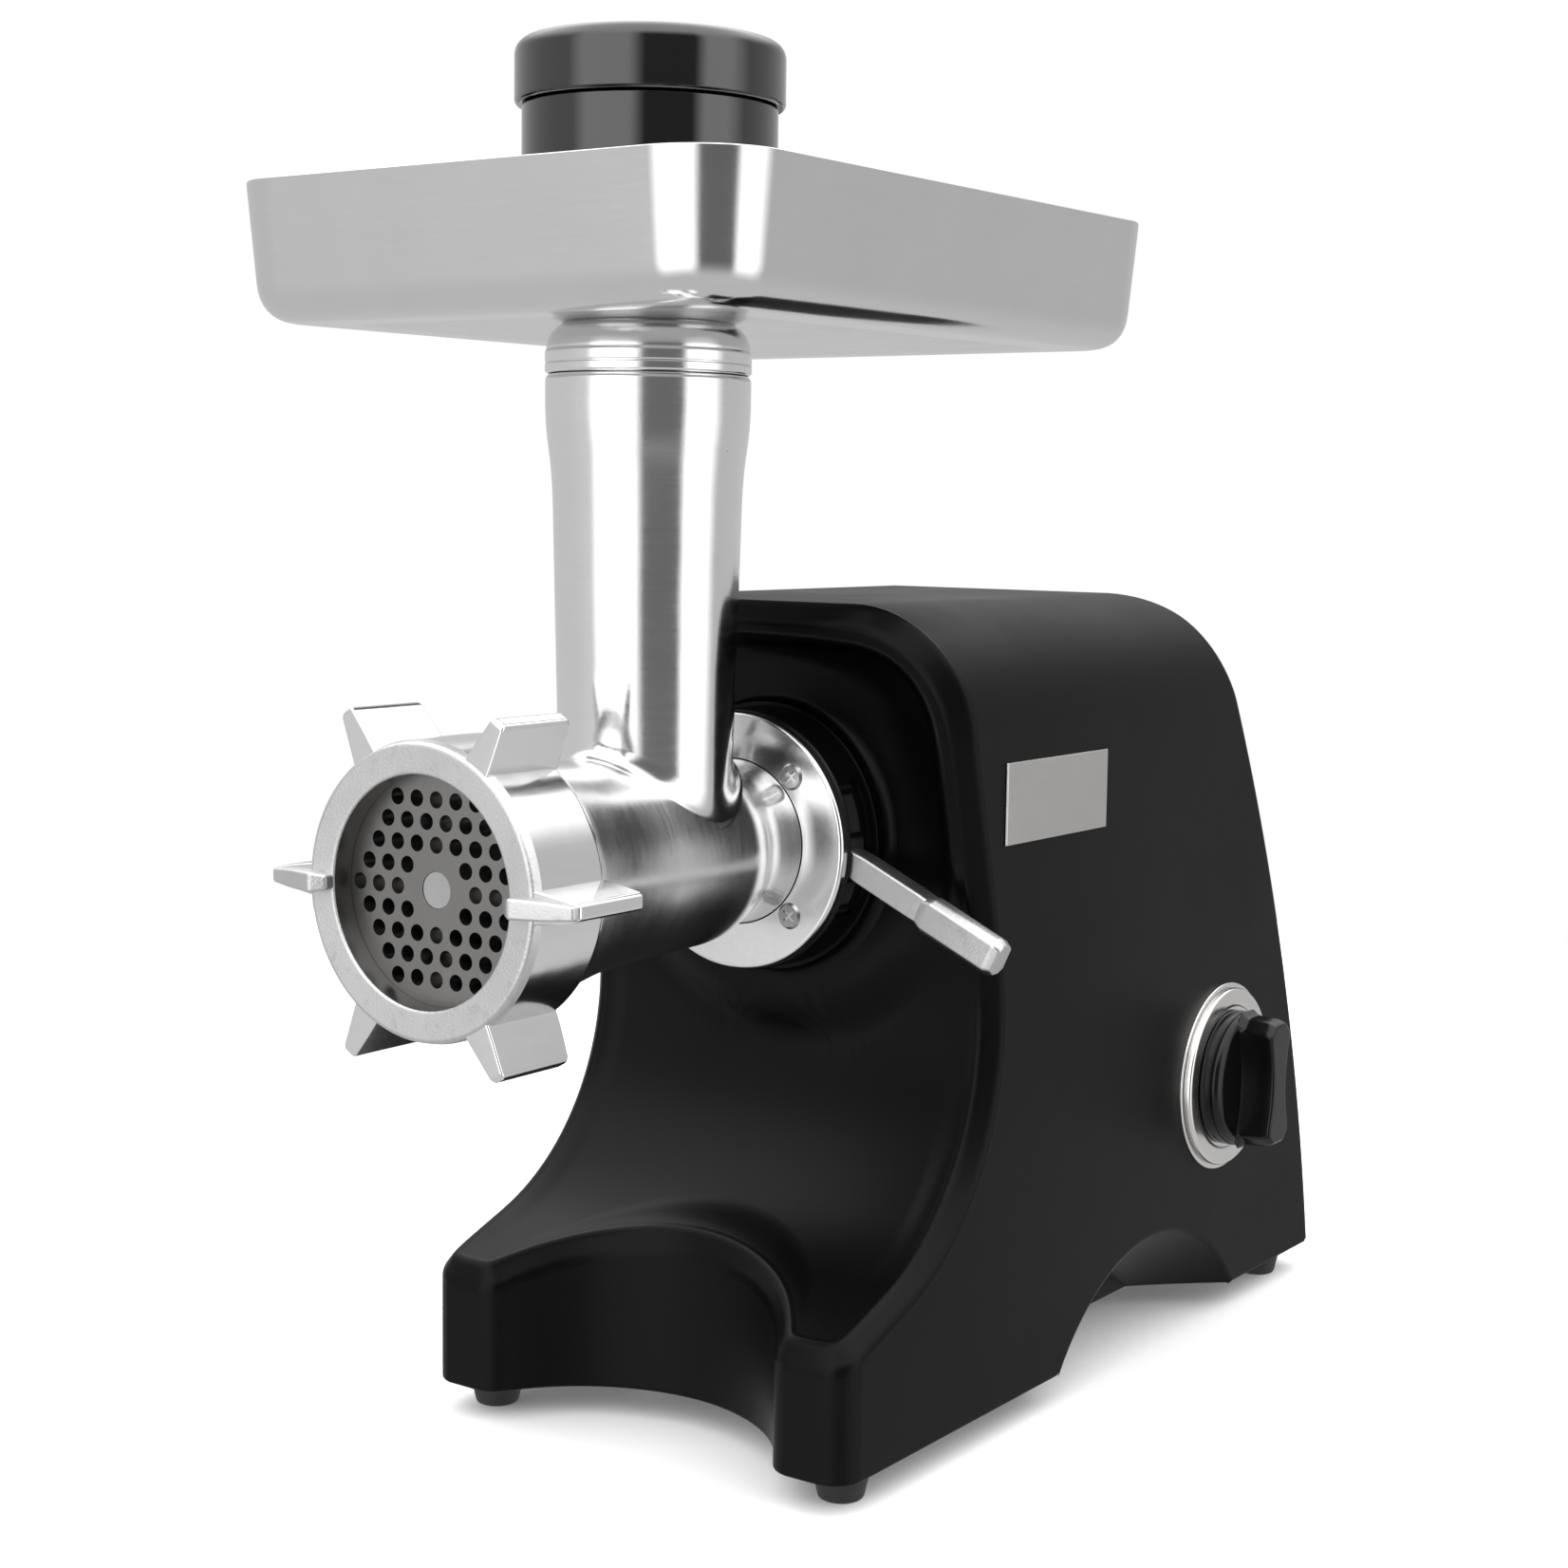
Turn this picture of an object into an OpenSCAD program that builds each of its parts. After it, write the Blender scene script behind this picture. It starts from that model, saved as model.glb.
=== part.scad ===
// Electric meat grinder with a removable grinding head.
// Units are millimetres, +Z is up and the head points along -Y.

/* [Housing] */
// Overall width of the motor housing
body_w = 151; // [140:1:170]
// Height of the flat top above the table
body_top = 246; // [230:1:265]
// Radius of the two long top edges
top_r = 36; // [20:1:45]
// Housing wall thickness
wall = 3; // [2:0.5:4]
// Width of the bevelled rim around the front panel
rim_w = 6; // [4:0.5:8]
// How far the front panel leans forward at the top, in degrees
face_lean = 14; // [8:1:18]
// Radius of the sweep between front panel and base
sweep_r = 71.15; // [60:0.05:85]
// Radius of the hand-hold arches in the sides
arch_r = 75; // [65:1:90]
// Depth of each hand-hold
arch_depth = 27; // [20:1:30]
// Radius of each hand-hold at its inner end
arch_in_r = 56; // [50:1:74]

/* [Grinding head] */
// Height of the auger axis above the table
axis_h = 174.95; // [165:0.05:185]
// Outer radius of the ring nut
ring_r = 39; // [36:0.5:44]
// Radius of the opening in the ring nut
ring_open_r = 30.1; // [28:0.1:32]
// Depth of the ring nut
ring_d = 28.2; // [24:0.2:34]
// Number of grip lugs on the ring nut
lugs = 6; // [4:1:8]
// Radius over the grip lugs
lug_tip_r = 52; // [46:1:58]
// Cutting plate radius
plate_r = 31; // [30:0.1:31]
// Radius of one hole in the cutting plate
plate_hole_r = 2.2; // [1.5:0.1:3]
// Pitch of the holes in the cutting plate
plate_pitch = 6.7; // [5:0.1:8]
// Distance from ring nut front to feed tube axis
tube_y = 92.46; // [85:0.02:100]
// Bore radius of the feed tube
tube_bore_r = 21.8; // [20:0.1:23]
// Radius of the auger flight
auger_r = 24.6; // [22:0.1:24.7]
// Turns of the auger flight
auger_turns = 3; // [2:0.5:4]

/* [Tray and pusher] */
// Tray width, left to right
tray_w = 178.9; // [150:0.1:190]
// Tray length, front to back
tray_l = 230.8; // [190:0.2:240]
// Height of the tray rim above the table
tray_top = 361.2; // [350:0.2:375]
// Height of the tray wall
tray_wall_h = 38.6; // [25:0.2:45]
// Radius of the tray's corners, seen from above
tray_corner_r = 24; // [18:0.5:30]
// Sheet thickness of the tray
tray_t = 1.6; // [1.2:0.1:2.5]
// Radius of the pusher body
pusher_r = 35; // [30:0.5:38]
// Height of the pusher cap's top above the table
pusher_top = 398.1; // [385:0.1:410]

/* [Drive] */
// Teeth on the motor pinion
pinion_z = 12; // [12:1:16]
// Teeth on the first wheel
wheel_z = 60; // [50:1:64]
// Module of the first stage
module_1 = 1; // [1:0.05:1.1]
// Teeth on the second pinion
pinion2_z = 14; // [12:1:16]
// Teeth on the output wheel
wheel2_z = 56; // [50:1:58]
// Module of the second stage
module_2 = 1.25; // [1.1:0.05:1.3]

/* [Controls] */
// Radius of the switch escutcheon
escutcheon_r = 30.8; // [26:0.2:34]
// Radius of the switch knob's disc
knob_r = 22.5; // [18:0.5:24]
// Distance of the knob's outer face from the centre plane
knob_out = 97.4; // [92:0.2:99]

/* [Output] */
// Sub-part to build, or all of them

/* [Hidden] */
$fn = 72;

half_w = body_w / 2;
mid_x = -5.8;               // middle of the finished object, measured from the auger axis
mid_y = 193.6;              // middle of the finished object, measured from the ring nut
flange_y = 134.55;          // front of the polished face ring
flange_r = 38.3;
panel_y = 156;              // depth of the front panel around the collar
base_z = 9;                 // underside of the housing, above the feet
leg_y = 85;                 // front of the two legs
rear_y = 389;               // rear edge of the housing at its base
bay_r = 56.4;               // hollow between the front legs
bay_y = 61.6;
leg_r = 9;
sweep_y = 88.4;             // centre of the sweep
sweep_z = 123.8;
low_rise = 20.2;            // slope of the low part of the front panel
back_r = 625;               // very flat curve of the back, and its centre
back_cy = rear_y - 615.4;
back_cz = -99.6;
shoulder_r = 22;            // round edge between top and back
arch_y = 264;
arch_z = -36;
tube_top = 308.5;
plate_y = 7;                // front face of the cutting plate
plate_t = 5;
knob_y = 310;
knob_z = 84.3;
lay_a = -120;               // direction from output axis to layshaft
dist_1 = module_1 * (pinion_z + wheel_z) / 2;
dist_2 = module_2 * (pinion2_z + wheel2_z) / 2;
lay_x = dist_2 * cos(lay_a);
lay_z = axis_h + dist_2 * sin(lay_a);
motor_a = -acos(-lay_x / dist_1);
motor_z = lay_z + dist_1 * sin(motor_a);
stage2_y = 180;             // front of the output wheel
stage1_y = 195;             // front of the first wheel
motor_y0 = 220;
motor_y1 = 318;
tray_x0 = -109;
tray_y0 = 32.6;

// ---- helpers -------------------------------------------------------------

// solid cylinder along Y, starting at y
module rod_y(y, h, r, x = 0, z = axis_h, r2 = -1) {
    translate([x, y, z]) rotate([-90, 0, 0])
        cylinder(h = h, r1 = r, r2 = r2 < 0 ? r : r2);
}

// tube along Y
module pipe_y(y, h, r, ri, x = 0, z = axis_h) {
    difference() {
        rod_y(y, h, r, x, z);
        rod_y(y - 1, h + 2, ri, x, z);
    }
}

// flat shape drawn in X and Z, given depth along Y
module slab_y(y, h) {
    translate([0, y + h, 0]) rotate([90, 0, 0]) linear_extrude(h) children();
}

// flat shape drawn in Y and Z, given depth along X
module slab_x(x, h) {
    translate([x, 0, 0]) rotate([90, 0, 90]) linear_extrude(h) children();
}

// rectangle with round corners, from two corners
module round_rect(x0, y0, x1, y1, r) {
    translate([x0 + r, y0]) square([x1 - x0 - 2 * r, y1 - y0]);
    translate([x0, y0 + r]) square([x1 - x0, y1 - y0 - 2 * r]);
    for (x = [x0 + r, x1 - r], y = [y0 + r, y1 - r]) translate([x, y]) circle(r);
}

// spur gear outline with involute flanks
function inv_pt(rb, a, s) = [
    rb * (cos(s * a) + s * a * PI / 180 * sin(s * a)),
    rb * (sin(s * a) - s * a * PI / 180 * cos(s * a))
];
function spin(p, a) = [p[0] * cos(a) - p[1] * sin(a), p[0] * sin(a) + p[1] * cos(a)];
module gear_2d(m, z, phase, play = 0.14) {
    rp = m * z / 2;
    rb = rp * cos(20);
    ro = rp + m * 0.95;
    rr = rp - m * 1.25;
    // roll angles at the tip and at the foot of the flank
    at = sqrt(pow(ro / rb, 2) - 1) * 180 / PI;
    af = rr > rb ? sqrt(pow(rr / rb, 2) - 1) * 180 / PI : 0;
    ap = tan(20) * 180 / PI - 20;
    half = 90 / z - play / rp * 90 / PI + ap;
    steps = 5;
    pts = [for (t = [0 : z - 1]) each concat(
        [spin([rr, 0], phase + t * 360 / z - half)],
        [for (i = [0 : steps]) spin(inv_pt(rb, af + (at - af) * i / steps, 1),
            phase + t * 360 / z - half)],
        [for (i = [steps : -1 : 0]) spin(inv_pt(rb, af + (at - af) * i / steps, -1),
            phase + t * 360 / z + half)],
        [spin([rr, 0], phase + t * 360 / z + half)]
    )];
    polygon(pts);
}

// ---- motor housing -------------------------------------------------------

// front panel profile: distance along it, measured from the foot of the sweep
sweep_n = 28;
arc_len = sweep_r * (90 - low_rise + face_lean) * PI / 180;
function prof_dir(s) = s < 0 ? low_rise - 90 :
    s > arc_len ? face_lean : low_rise - 90 + s / sweep_r * 180 / PI;
function prof_pt(s) =
    let (a = prof_dir(s), q = [sweep_y + sweep_r * cos(a), sweep_z + sweep_r * sin(a)])
    s < 0 ? q + s * [cos(low_rise), sin(low_rise)] :
    s > arc_len ? q + (s - arc_len) * [-sin(face_lean), cos(face_lean)] : q;
function prof_in(s, d) = prof_pt(s) + d * [cos(prof_dir(s)), sin(prof_dir(s))];

// everything in front of the housing's front edge, d behind the panel profile
module front_cut_2d(d) {
    polygon(concat([prof_in(-140, d)],
        [for (i = [0 : sweep_n]) prof_in(arc_len * i / sweep_n, d)],
        [prof_in(arc_len + 200, d), [-120, 400]]));
}

// side view of the housing, shrunk by t; its cavity is open towards the front panel
shoulder_z = body_top - shoulder_r;
shoulder_y = back_cy + sqrt(pow(back_r - shoulder_r, 2) - pow(shoulder_z - back_cz, 2));
shoulder_a = atan2(shoulder_z - back_cz, shoulder_y - back_cy);
base_a = asin((base_z - 2 - back_cz) / back_r);
module side_2d(t) {
    difference() {
        polygon(concat(
            [[20, base_z - 1], [20, body_top - t]],
            [for (i = [0 : 7]) let (a = 90 + (shoulder_a - 90) * i / 7)
                [shoulder_y, shoulder_z] + (shoulder_r - t) * [cos(a), sin(a)]],
            [for (i = [1 : 12]) let (a = shoulder_a + (base_a - shoulder_a) * i / 12)
                [back_cy, back_cz] + (back_r - t) * [cos(a), sin(a)]]
        ));
        front_cut_2d(t == 0 ? rim_w : rim_w - 2);
    }
}

// front view of the housing
module front_2d(t) {
    w = half_w - t;
    translate([-w, 0]) square([2 * w, body_top - top_r]);
    translate([-half_w + top_r, 0]) square([body_w - 2 * top_r, body_top - t]);
    for (s = [-1, 1]) translate([s * (half_w - top_r), body_top - top_r])
        circle(top_r - t, $fn = 96);
}

// plan view of the housing, with the bay between the legs
module plan_2d(t) {
    ex = sqrt(pow(bay_r + leg_r, 2) - pow(leg_y + leg_r - bay_y, 2));
    difference() {
        round_rect(-half_w + t, leg_y + t, half_w - t, 400, leg_r - t);
        translate([0, bay_y]) circle(bay_r + t, $fn = 144);
        for (s = [-1, 1]) scale([s, 1]) difference() {
            polygon([[0, bay_y], [ex * bay_r / (bay_r + leg_r),
                bay_y + (leg_y + leg_r - bay_y) * bay_r / (bay_r + leg_r)],
                [ex, leg_y + leg_r], [ex, bay_y]]);
            translate([ex, leg_y + leg_r]) circle(leg_r - t);
        }
    }
}

// closed solid with the housing's outer form, shrunk by t
module body_form(t) {
    intersection() {
        slab_x(-half_w - 1, body_w + 2) side_2d(t);
        slab_y(0, 420) front_2d(t);
        translate([0, 0, -2]) linear_extrude(300) plan_2d(t);
    }
}

// both hand-hold scoops, grown by t
module arches(t) {
    h = arch_depth + t + 5;
    for (s = [-1, 1]) scale([s, 1, 1])
        translate([half_w - arch_depth - t, arch_y, arch_z]) rotate([0, 90, 0])
            cylinder(h = h, r1 = arch_in_r + t,
                r2 = arch_in_r + t + h * (arch_r - arch_in_r) / arch_depth, $fn = 144);
}

module housing() {
    color([0.06, 0.06, 0.065]) translate([-mid_x, -mid_y, 0]) {
        difference() {
            body_form(0);
            difference() {
                body_form(wall);
                arches(wall);
            }
            arches(0);
            translate([-200, 0, -20]) cube([400, 420, base_z + 20]);
            // switch hole in the right side
            translate([half_w - 10, knob_y, knob_z]) rotate([0, 90, 0])
                cylinder(h = 20, r = 6.2);
            // cord hole in the back
            rod_y(360, 60, 9, 0, 40);
            // cooling slots in the back
            for (i = [0 : 6]) translate([-40, 300, 100 + i * 9]) cube([80, 100, 4]);
        }
    }
}

// front panel: outline points as [x, s] along and across the panel profile
side_n = 26;
function top_z(x) = abs(x) < half_w - top_r ? body_top :
    body_top - top_r + sqrt(max(0, pow(top_r, 2) - pow(abs(x) - half_w + top_r, 2)));
function top_s(x) = arc_len
    + (top_z(x) - prof_in(arc_len, rim_w)[1]) / cos(face_lean);
function low_s(y) = (y - prof_in(0, rim_w)[0]) / cos(low_rise);
leg_ex = sqrt(pow(bay_r + leg_r, 2) - pow(leg_y + leg_r - bay_y, 2));
bay_a = atan2(leg_y + leg_r - bay_y, leg_ex);
right_edge = concat(
    // bay arc from the middle to the leg
    [for (i = [0 : 7]) let (a = 90 - (90 - bay_a) * i / 7)
        [bay_r * cos(a), low_s(bay_y + bay_r * sin(a))]],
    // round end of the leg
    [for (i = [1 : 4]) let (a = bay_a + 180 + (270 - bay_a - 180) * i / 4)
        [leg_ex + leg_r * cos(a), low_s(leg_y + leg_r + leg_r * sin(a))]],
    [for (i = [0 : 4]) let (a = -90 + 90 * i / 4)
        [half_w - leg_r + leg_r * cos(a), low_s(leg_y + leg_r + leg_r * sin(a))]],
    // straight side
    [for (i = [1 : side_n]) [half_w, low_s(leg_y + leg_r)
        + (top_s(half_w) - low_s(leg_y + leg_r)) * i / (side_n + 1)]],
    // round top corner and top
    [for (i = [0 : 6]) let (a = 90 * i / 6, x = half_w - top_r + top_r * cos(a))
        [x, top_s(x)]],
    [for (i = [1 : 3]) [(half_w - top_r) * (1 - i / 3), top_s(0)]]
);
edge_n = 2 * len(right_edge) - 2;
edge = concat(right_edge,
    [for (i = [len(right_edge) - 2 : -1 : 1]) [-right_edge[i][0], right_edge[i][1]]]);
function unit(v) = v / norm(v);
function edge_in(i, d) =
    let (a = edge[(i + edge_n - 1) % edge_n], b = edge[(i + 1) % edge_n], u = unit(b - a))
    edge[i] + d * [-u[1], u[0]];
// depth of the dish at a point of the panel
function dish(x, s) =
    let (z = prof_pt(s)[1], y = prof_pt(s)[0],
        full = (panel_y - y) / cos(face_lean),
        fade = z < 212 ? 1 : max(0, 1 - pow((z - 212) / 27, 2)),
        a = s < arc_len ? 2.2 * max(0, min(1, (s + 24) / 60)) : max(2.2, full) * fade)
    a * max(0, 1 - pow(abs(x) / (half_w - rim_w), 3));
lip_in = wall + 1.1;         // the cover's lip lies this far inside the outline
rings = [1, 0.9, 0.75, 0.58, 0.38, 0.18];
panel_c = [0, arc_len + 20];
// depth behind the profile on the front and on the back of the panel
function panel_pt(x, s, d) = let (q = prof_in(s, d)) [x, q[0], q[1]];
function ring_pt(i, k) = let (e = edge_in(i, rim_w)) panel_c + (e - panel_c) * rings[k];
front_pts = concat(
    [for (i = [0 : edge_n - 1]) panel_pt(edge[i][0], edge[i][1], rim_w - 0.2)],
    [for (k = [0 : len(rings) - 1], i = [0 : edge_n - 1]) let (e = ring_pt(i, k))
        panel_pt(e[0], e[1], k == 0 ? 0 : 0.4 + dish(e[0], e[1]))],
    [panel_pt(panel_c[0], panel_c[1], 0.4 + dish(panel_c[0], panel_c[1]))]
);
back_pts = concat(
    [for (i = [0 : edge_n - 1]) let (e = edge_in(i, lip_in))
        panel_pt(e[0], e[1], rim_w - 0.2)],
    [for (i = [0 : edge_n - 1]) let (e = edge_in(i, lip_in))
        panel_pt(e[0], e[1], rim_w + 2.4)],
    [for (k = [0 : len(rings) - 1], i = [0 : edge_n - 1])
        let (e = ring_pt(i, k), f = panel_c + (e - panel_c) * (k == 0 ? 0.97 : 1))
        panel_pt(f[0], f[1], k == 0 ? 3.4 : 3.4 + dish(f[0], f[1]))],
    [panel_pt(panel_c[0], panel_c[1], 3.4 + dish(panel_c[0], panel_c[1]))]
);
front_rows = len(rings) + 1;
back_rows = len(rings) + 2;
back_0 = len(front_pts);
function band(a, b, flip) = [for (i = [0 : edge_n - 1], h = [0, 1])
    let (j = (i + 1) % edge_n,
        t = h == 0 ? [a + i, a + j, b + j] : [a + i, b + j, b + i])
    flip ? [t[0], t[2], t[1]] : t];
function fan(a, c, flip) = [for (i = [0 : edge_n - 1])
    let (j = (i + 1) % edge_n) flip ? [a + i, c, a + j] : [a + i, a + j, c]];

module front_cover() {
    color([0.07, 0.07, 0.075]) translate([-mid_x, -mid_y, 0]) difference() {
        polyhedron(concat(front_pts, back_pts), concat(
            [for (k = [0 : front_rows - 2]) each band(k * edge_n, (k + 1) * edge_n, true)],
            fan((front_rows - 1) * edge_n, back_0 - 1, true),
            band(0, back_0, false),
            [for (k = [0 : back_rows - 2]) each
                band(back_0 + k * edge_n, back_0 + (k + 1) * edge_n, false)],
            fan(back_0 + (back_rows - 1) * edge_n, len(front_pts) + len(back_pts) - 1, false)
        ), convexity = 8);
        rod_y(120, 60, 39.4);
    }
}

module base_plate() {
    color([0.09, 0.09, 0.09]) translate([-mid_x, -mid_y, 0]) difference() {
        translate([0, 0, base_z]) linear_extrude(3) intersection() {
            plan_2d(wall + 0.4);
            square([400, 2 * (rear_y - wall - 2)], center = true);
        }
        arches(wall + 0.4);
        for (x = [-63.4, 63.4], y = [102, 370]) translate([x, y, 0]) cylinder(h = 30, r = 2.05);
        for (x = [-30, 30], y = [135, 355]) translate([x, y, 0]) cylinder(h = 30, r = 2.05);
        // cooling slots under the motor
        for (i = [0 : 7]) translate([-28, 215 + i * 11, 0]) cube([56, 5, 30]);
    }
}

module feet() {
    color([0.03, 0.03, 0.03]) translate([-mid_x, -mid_y, 0])
        for (x = [-63.4, 63.4], y = [102, 370]) translate([x, y, 0]) difference() {
            union() {
                cylinder(h = base_z - 2, r1 = 6.6, r2 = 8);
                translate([0, 0, base_z - 2]) cylinder(h = 2, r = 8);
            }
            translate([0, 0, -1]) cylinder(h = 4.5, r = 4);
            cylinder(h = 20, r = 2.05);
        }
}

module foot_screws() {
    color([0.6, 0.6, 0.62]) translate([-mid_x, -mid_y, 0])
        for (x = [-63.4, 63.4], y = [102, 370]) translate([x, y, 0]) {
            difference() {
                translate([0, 0, 1.3]) cylinder(h = 2.2, r = 3.6);
                translate([-0.5, -2.2, 0]) cube([1, 4.4, 2]);
                translate([-2.2, -0.5, 0]) cube([4.4, 1, 2]);
            }
            translate([0, 0, 3.5]) cylinder(h = 13, r = 2);
        }
}

module base_screws() {
    color([0.6, 0.6, 0.62]) translate([-mid_x, -mid_y, 0])
        for (x = [-30, 30], y = [135, 355]) translate([x, y, 0]) {
            translate([0, 0, base_z - 2.2]) cylinder(h = 2.2, r = 3.6);
            translate([0, 0, base_z]) cylinder(h = 10, r = 2);
        }
}

// ---- collar, face ring and lever -----------------------------------------

groove_r0 = 33;
groove_r1 = 37.3;
lever_y = 138.2;
lever_t = 9.6;
lever_dip = -24.6;

module collar() {
    color([0.07, 0.07, 0.075]) translate([-mid_x, -mid_y, 0]) difference() {
        rod_y(flange_y + 3.2, 168 - flange_y - 3.2, 38.9);
        rod_y(100, 100, 24.4);
        // groove for the lever's ring
        difference() {
            rod_y(lever_y - 1, lever_t + 1.4, groove_r1);
            rod_y(lever_y - 2, lever_t + 4, groove_r0 - 0.1);
        }
        // slot the lever comes out of
        slab_y(lever_y - 1, lever_t + 1.4) polygon(concat([[0, axis_h]],
            [for (i = [0 : 6]) [60 * cos(-31 + i * 10), axis_h + 60 * sin(-31 + i * 10)]]));
        for (a = [45 : 90 : 315]) rod_y(flange_y, 14, 1.7, 28.8 * cos(a), axis_h + 28.8 * sin(a));
    }
    // inner sleeve, so the slot does not cut through to the bore
    color([0.07, 0.07, 0.075]) translate([-mid_x, -mid_y, 0]) difference() {
        pipe_y(flange_y + 3.2, 168 - flange_y - 3.2, groove_r0 - 0.1, 24.4);
        for (a = [45 : 90 : 315]) rod_y(flange_y, 14, 1.7, 28.8 * cos(a), axis_h + 28.8 * sin(a));
    }
}

module face_ring() {
    color([0.86, 0.87, 0.88]) translate([-mid_x, -mid_y, 0]) difference() {
        union() {
            rod_y(flange_y, 0.8, flange_r - 0.8, r2 = flange_r);
            rod_y(flange_y + 0.8, 2.2, flange_r);
        }
        rod_y(100, 60, 24.5);
        for (a = [45 : 90 : 315]) {
            rod_y(flange_y - 1, 2.2, 4.15, 28.8 * cos(a), axis_h + 28.8 * sin(a));
            rod_y(flange_y, 6, 1.9, 28.8 * cos(a), axis_h + 28.8 * sin(a));
        }
    }
}

module face_ring_screws() {
    color([0.75, 0.75, 0.76]) translate([-mid_x, -mid_y, 0])
        for (a = [45 : 90 : 315]) translate([28.8 * cos(a), 0, axis_h + 28.8 * sin(a)])
            difference() {
                union() {
                    rod_y(flange_y - 0.6, 0.8, 3.2, 0, 0, r2 = 4.1);
                    rod_y(flange_y + 0.2, 1, 4.1, 0, 0);
                    rod_y(flange_y + 1.2, 10, 1.6, 0, 0);
                }
                for (b = [a, a + 90]) rotate([0, b, 0])
                    translate([-2.2, flange_y - 2, -0.5]) cube([4.4, 2.4, 1]);
            }
}

module lock_lever() {
    color([0.8, 0.8, 0.79]) translate([-mid_x, -mid_y, 0]) {
        pipe_y(lever_y, lever_t, groove_r1 - 0.07, groove_r0 + 0.07);
        translate([35.5, lever_y, axis_h - 3]) rotate([0, -lever_dip, 0]) {
            translate([0, 1.2, -5]) cube([28.5, 7, 10]);
            translate([28, 0.4, 0]) rotate([90, 0, 90]) linear_extrude(27)
                polygon([[0, -5], [3, -7.4], [6, -7.4], [8.6, -5],
                    [8.6, 4.4], [5, 6], [2, 6], [0, 4.4]]);
            translate([55, 0.4, 0]) rotate([90, 0, 90]) linear_extrude(2)
                polygon([[1, -4], [3.6, -6], [5.4, -6], [7.6, -4],
                    [7.6, 3.4], [5, 4.6], [2.4, 4.6], [1, 3.4]]);
        }
    }
}

module badge() {
    color([0.72, 0.72, 0.66]) translate([-mid_x, -mid_y, 0]) difference() {
        slab_x(half_w, 0.8) round_rect(163, 177, 223, 201, 3);
        slab_x(half_w + 0.5, 1.4) round_rect(164.5, 178.5, 221.5, 199.5, 2);
    }
}

// ---- grinding head -------------------------------------------------------

module head_casting() {
    color([0.83, 0.84, 0.85]) translate([-mid_x, -mid_y, 0]) difference() {
        union() {
            // threaded end, barrel, waist and rear spigot
            rod_y(9, 19.6, 33.95);
            rod_y(28.6, 3, 34);
            rod_y(31.6, 30, 34, r2 = 28.8);
            rod_y(61.6, 50.4, 28.8, r2 = 27.8);
            rod_y(112, 10, 27.8, r2 = 23.2);
            rod_y(122, 35, 23.3);
            rod_y(130, 6, 23.3, r2 = 24.3);
            rod_y(136, 20, 24.3);
            // feed tube with its bulged rim
            translate([0, tube_y, axis_h]) cylinder(h = 108.05, r1 = 24.4, r2 = 26.4);
            translate([0, tube_y, axis_h + 108.05]) cylinder(h = 11.6, r1 = 26.4, r2 = 28.4);
            translate([0, tube_y, axis_h + 119.65])
                cylinder(h = tube_top - axis_h - 119.65, r = 28.4);
            // web between tube and barrel
            translate([-2.5, tube_y + 20, axis_h + 20]) cube([5, 18, 22]);
        }
        rod_y(8, 12, plate_r + 0.1);
        rod_y(19, 91, auger_r + 0.4);
        rod_y(110, 6, auger_r + 0.4, r2 = 20);
        rod_y(115, 60, 8.08);
        rod_y(124, 60, 14);
        translate([0, tube_y, axis_h]) cylinder(h = 140, r = tube_bore_r);
        // key way for the cutting plate
        translate([-2, 5, axis_h + plate_r - 1]) cube([4, 8, 2.2]);
    }
}

module ring_nut() {
    color([0.82, 0.83, 0.84]) translate([-mid_x, -mid_y, 0]) difference() {
        union() {
            rod_y(0, 2, ring_r - 1.4, r2 = ring_r);
            rod_y(2, ring_d - 2, ring_r, r2 = ring_r - 1);
            for (i = [0 : lugs - 1]) translate([0, 0, axis_h]) rotate([0, -i * 360 / lugs, 0]) {
                // lug: tapered across and bevelled at its front and rear
                intersection() {
                    slab_y(0, ring_d) polygon([[34, -4.4], [lug_tip_r, -1.9], [lug_tip_r, 1.9], [34, 4.4]]);
                    translate([0, 0, -10]) linear_extrude(20)
                        polygon([[34, 0], [ring_r, 0], [lug_tip_r - 1.4, 0.8], [lug_tip_r, 2.2],
                            [lug_tip_r, ring_d - 2.4], [lug_tip_r - 1.4, ring_d - 1],
                            [ring_r, ring_d], [34, ring_d]]);
                }
            }
            // bars across the face on the two level lugs
            for (s = [0, 180]) translate([0, 0, axis_h]) rotate([0, s, 0])
                translate([0, 0, -2.6]) linear_extrude(5.2)
                    polygon([[ring_open_r + 0.2, -2], [34, -4.8], [lug_tip_r, -0.5],
                        [lug_tip_r, 5], [ring_open_r + 0.2, 5]]);
        }
        rod_y(-10, 40, ring_open_r);
        rod_y(6.8, 40, 34);
    }
}

module cutting_plate() {
    color([0.55, 0.55, 0.53]) translate([-mid_x, -mid_y, 0]) difference() {
        union() {
            rod_y(plate_y, plate_t, plate_r);
            translate([-1.8, plate_y + 2.4, axis_h + plate_r - 1.5]) cube([3.6, plate_t - 2.6, 2.4]);
        }
        rod_y(0, 20, 4.8);
        for (q = [-4 : 4], r = [-4 : 4])
            if (abs(q + r) <= 4 && max(abs(q), abs(r), abs(q + r)) > 1)
                rod_y(0, 20, plate_hole_r, plate_pitch * (q + r / 2),
                    axis_h + plate_pitch * r * sqrt(3) / 2, $fn = 32);
    }
}

module knife() {
    color([0.7, 0.7, 0.7]) translate([-mid_x, -mid_y, 0]) difference() {
        union() {
            rod_y(12.3, 7, 10);
            for (a = [0 : 90 : 270]) translate([0, 12.3, axis_h]) rotate([0, a, 0])
                translate([6, 0, -3]) cube([22, 4.5, 6]);
        }
        translate([-4.55, 10, axis_h - 4.55]) cube([9.1, 20, 9.1]);
    }
}

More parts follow.
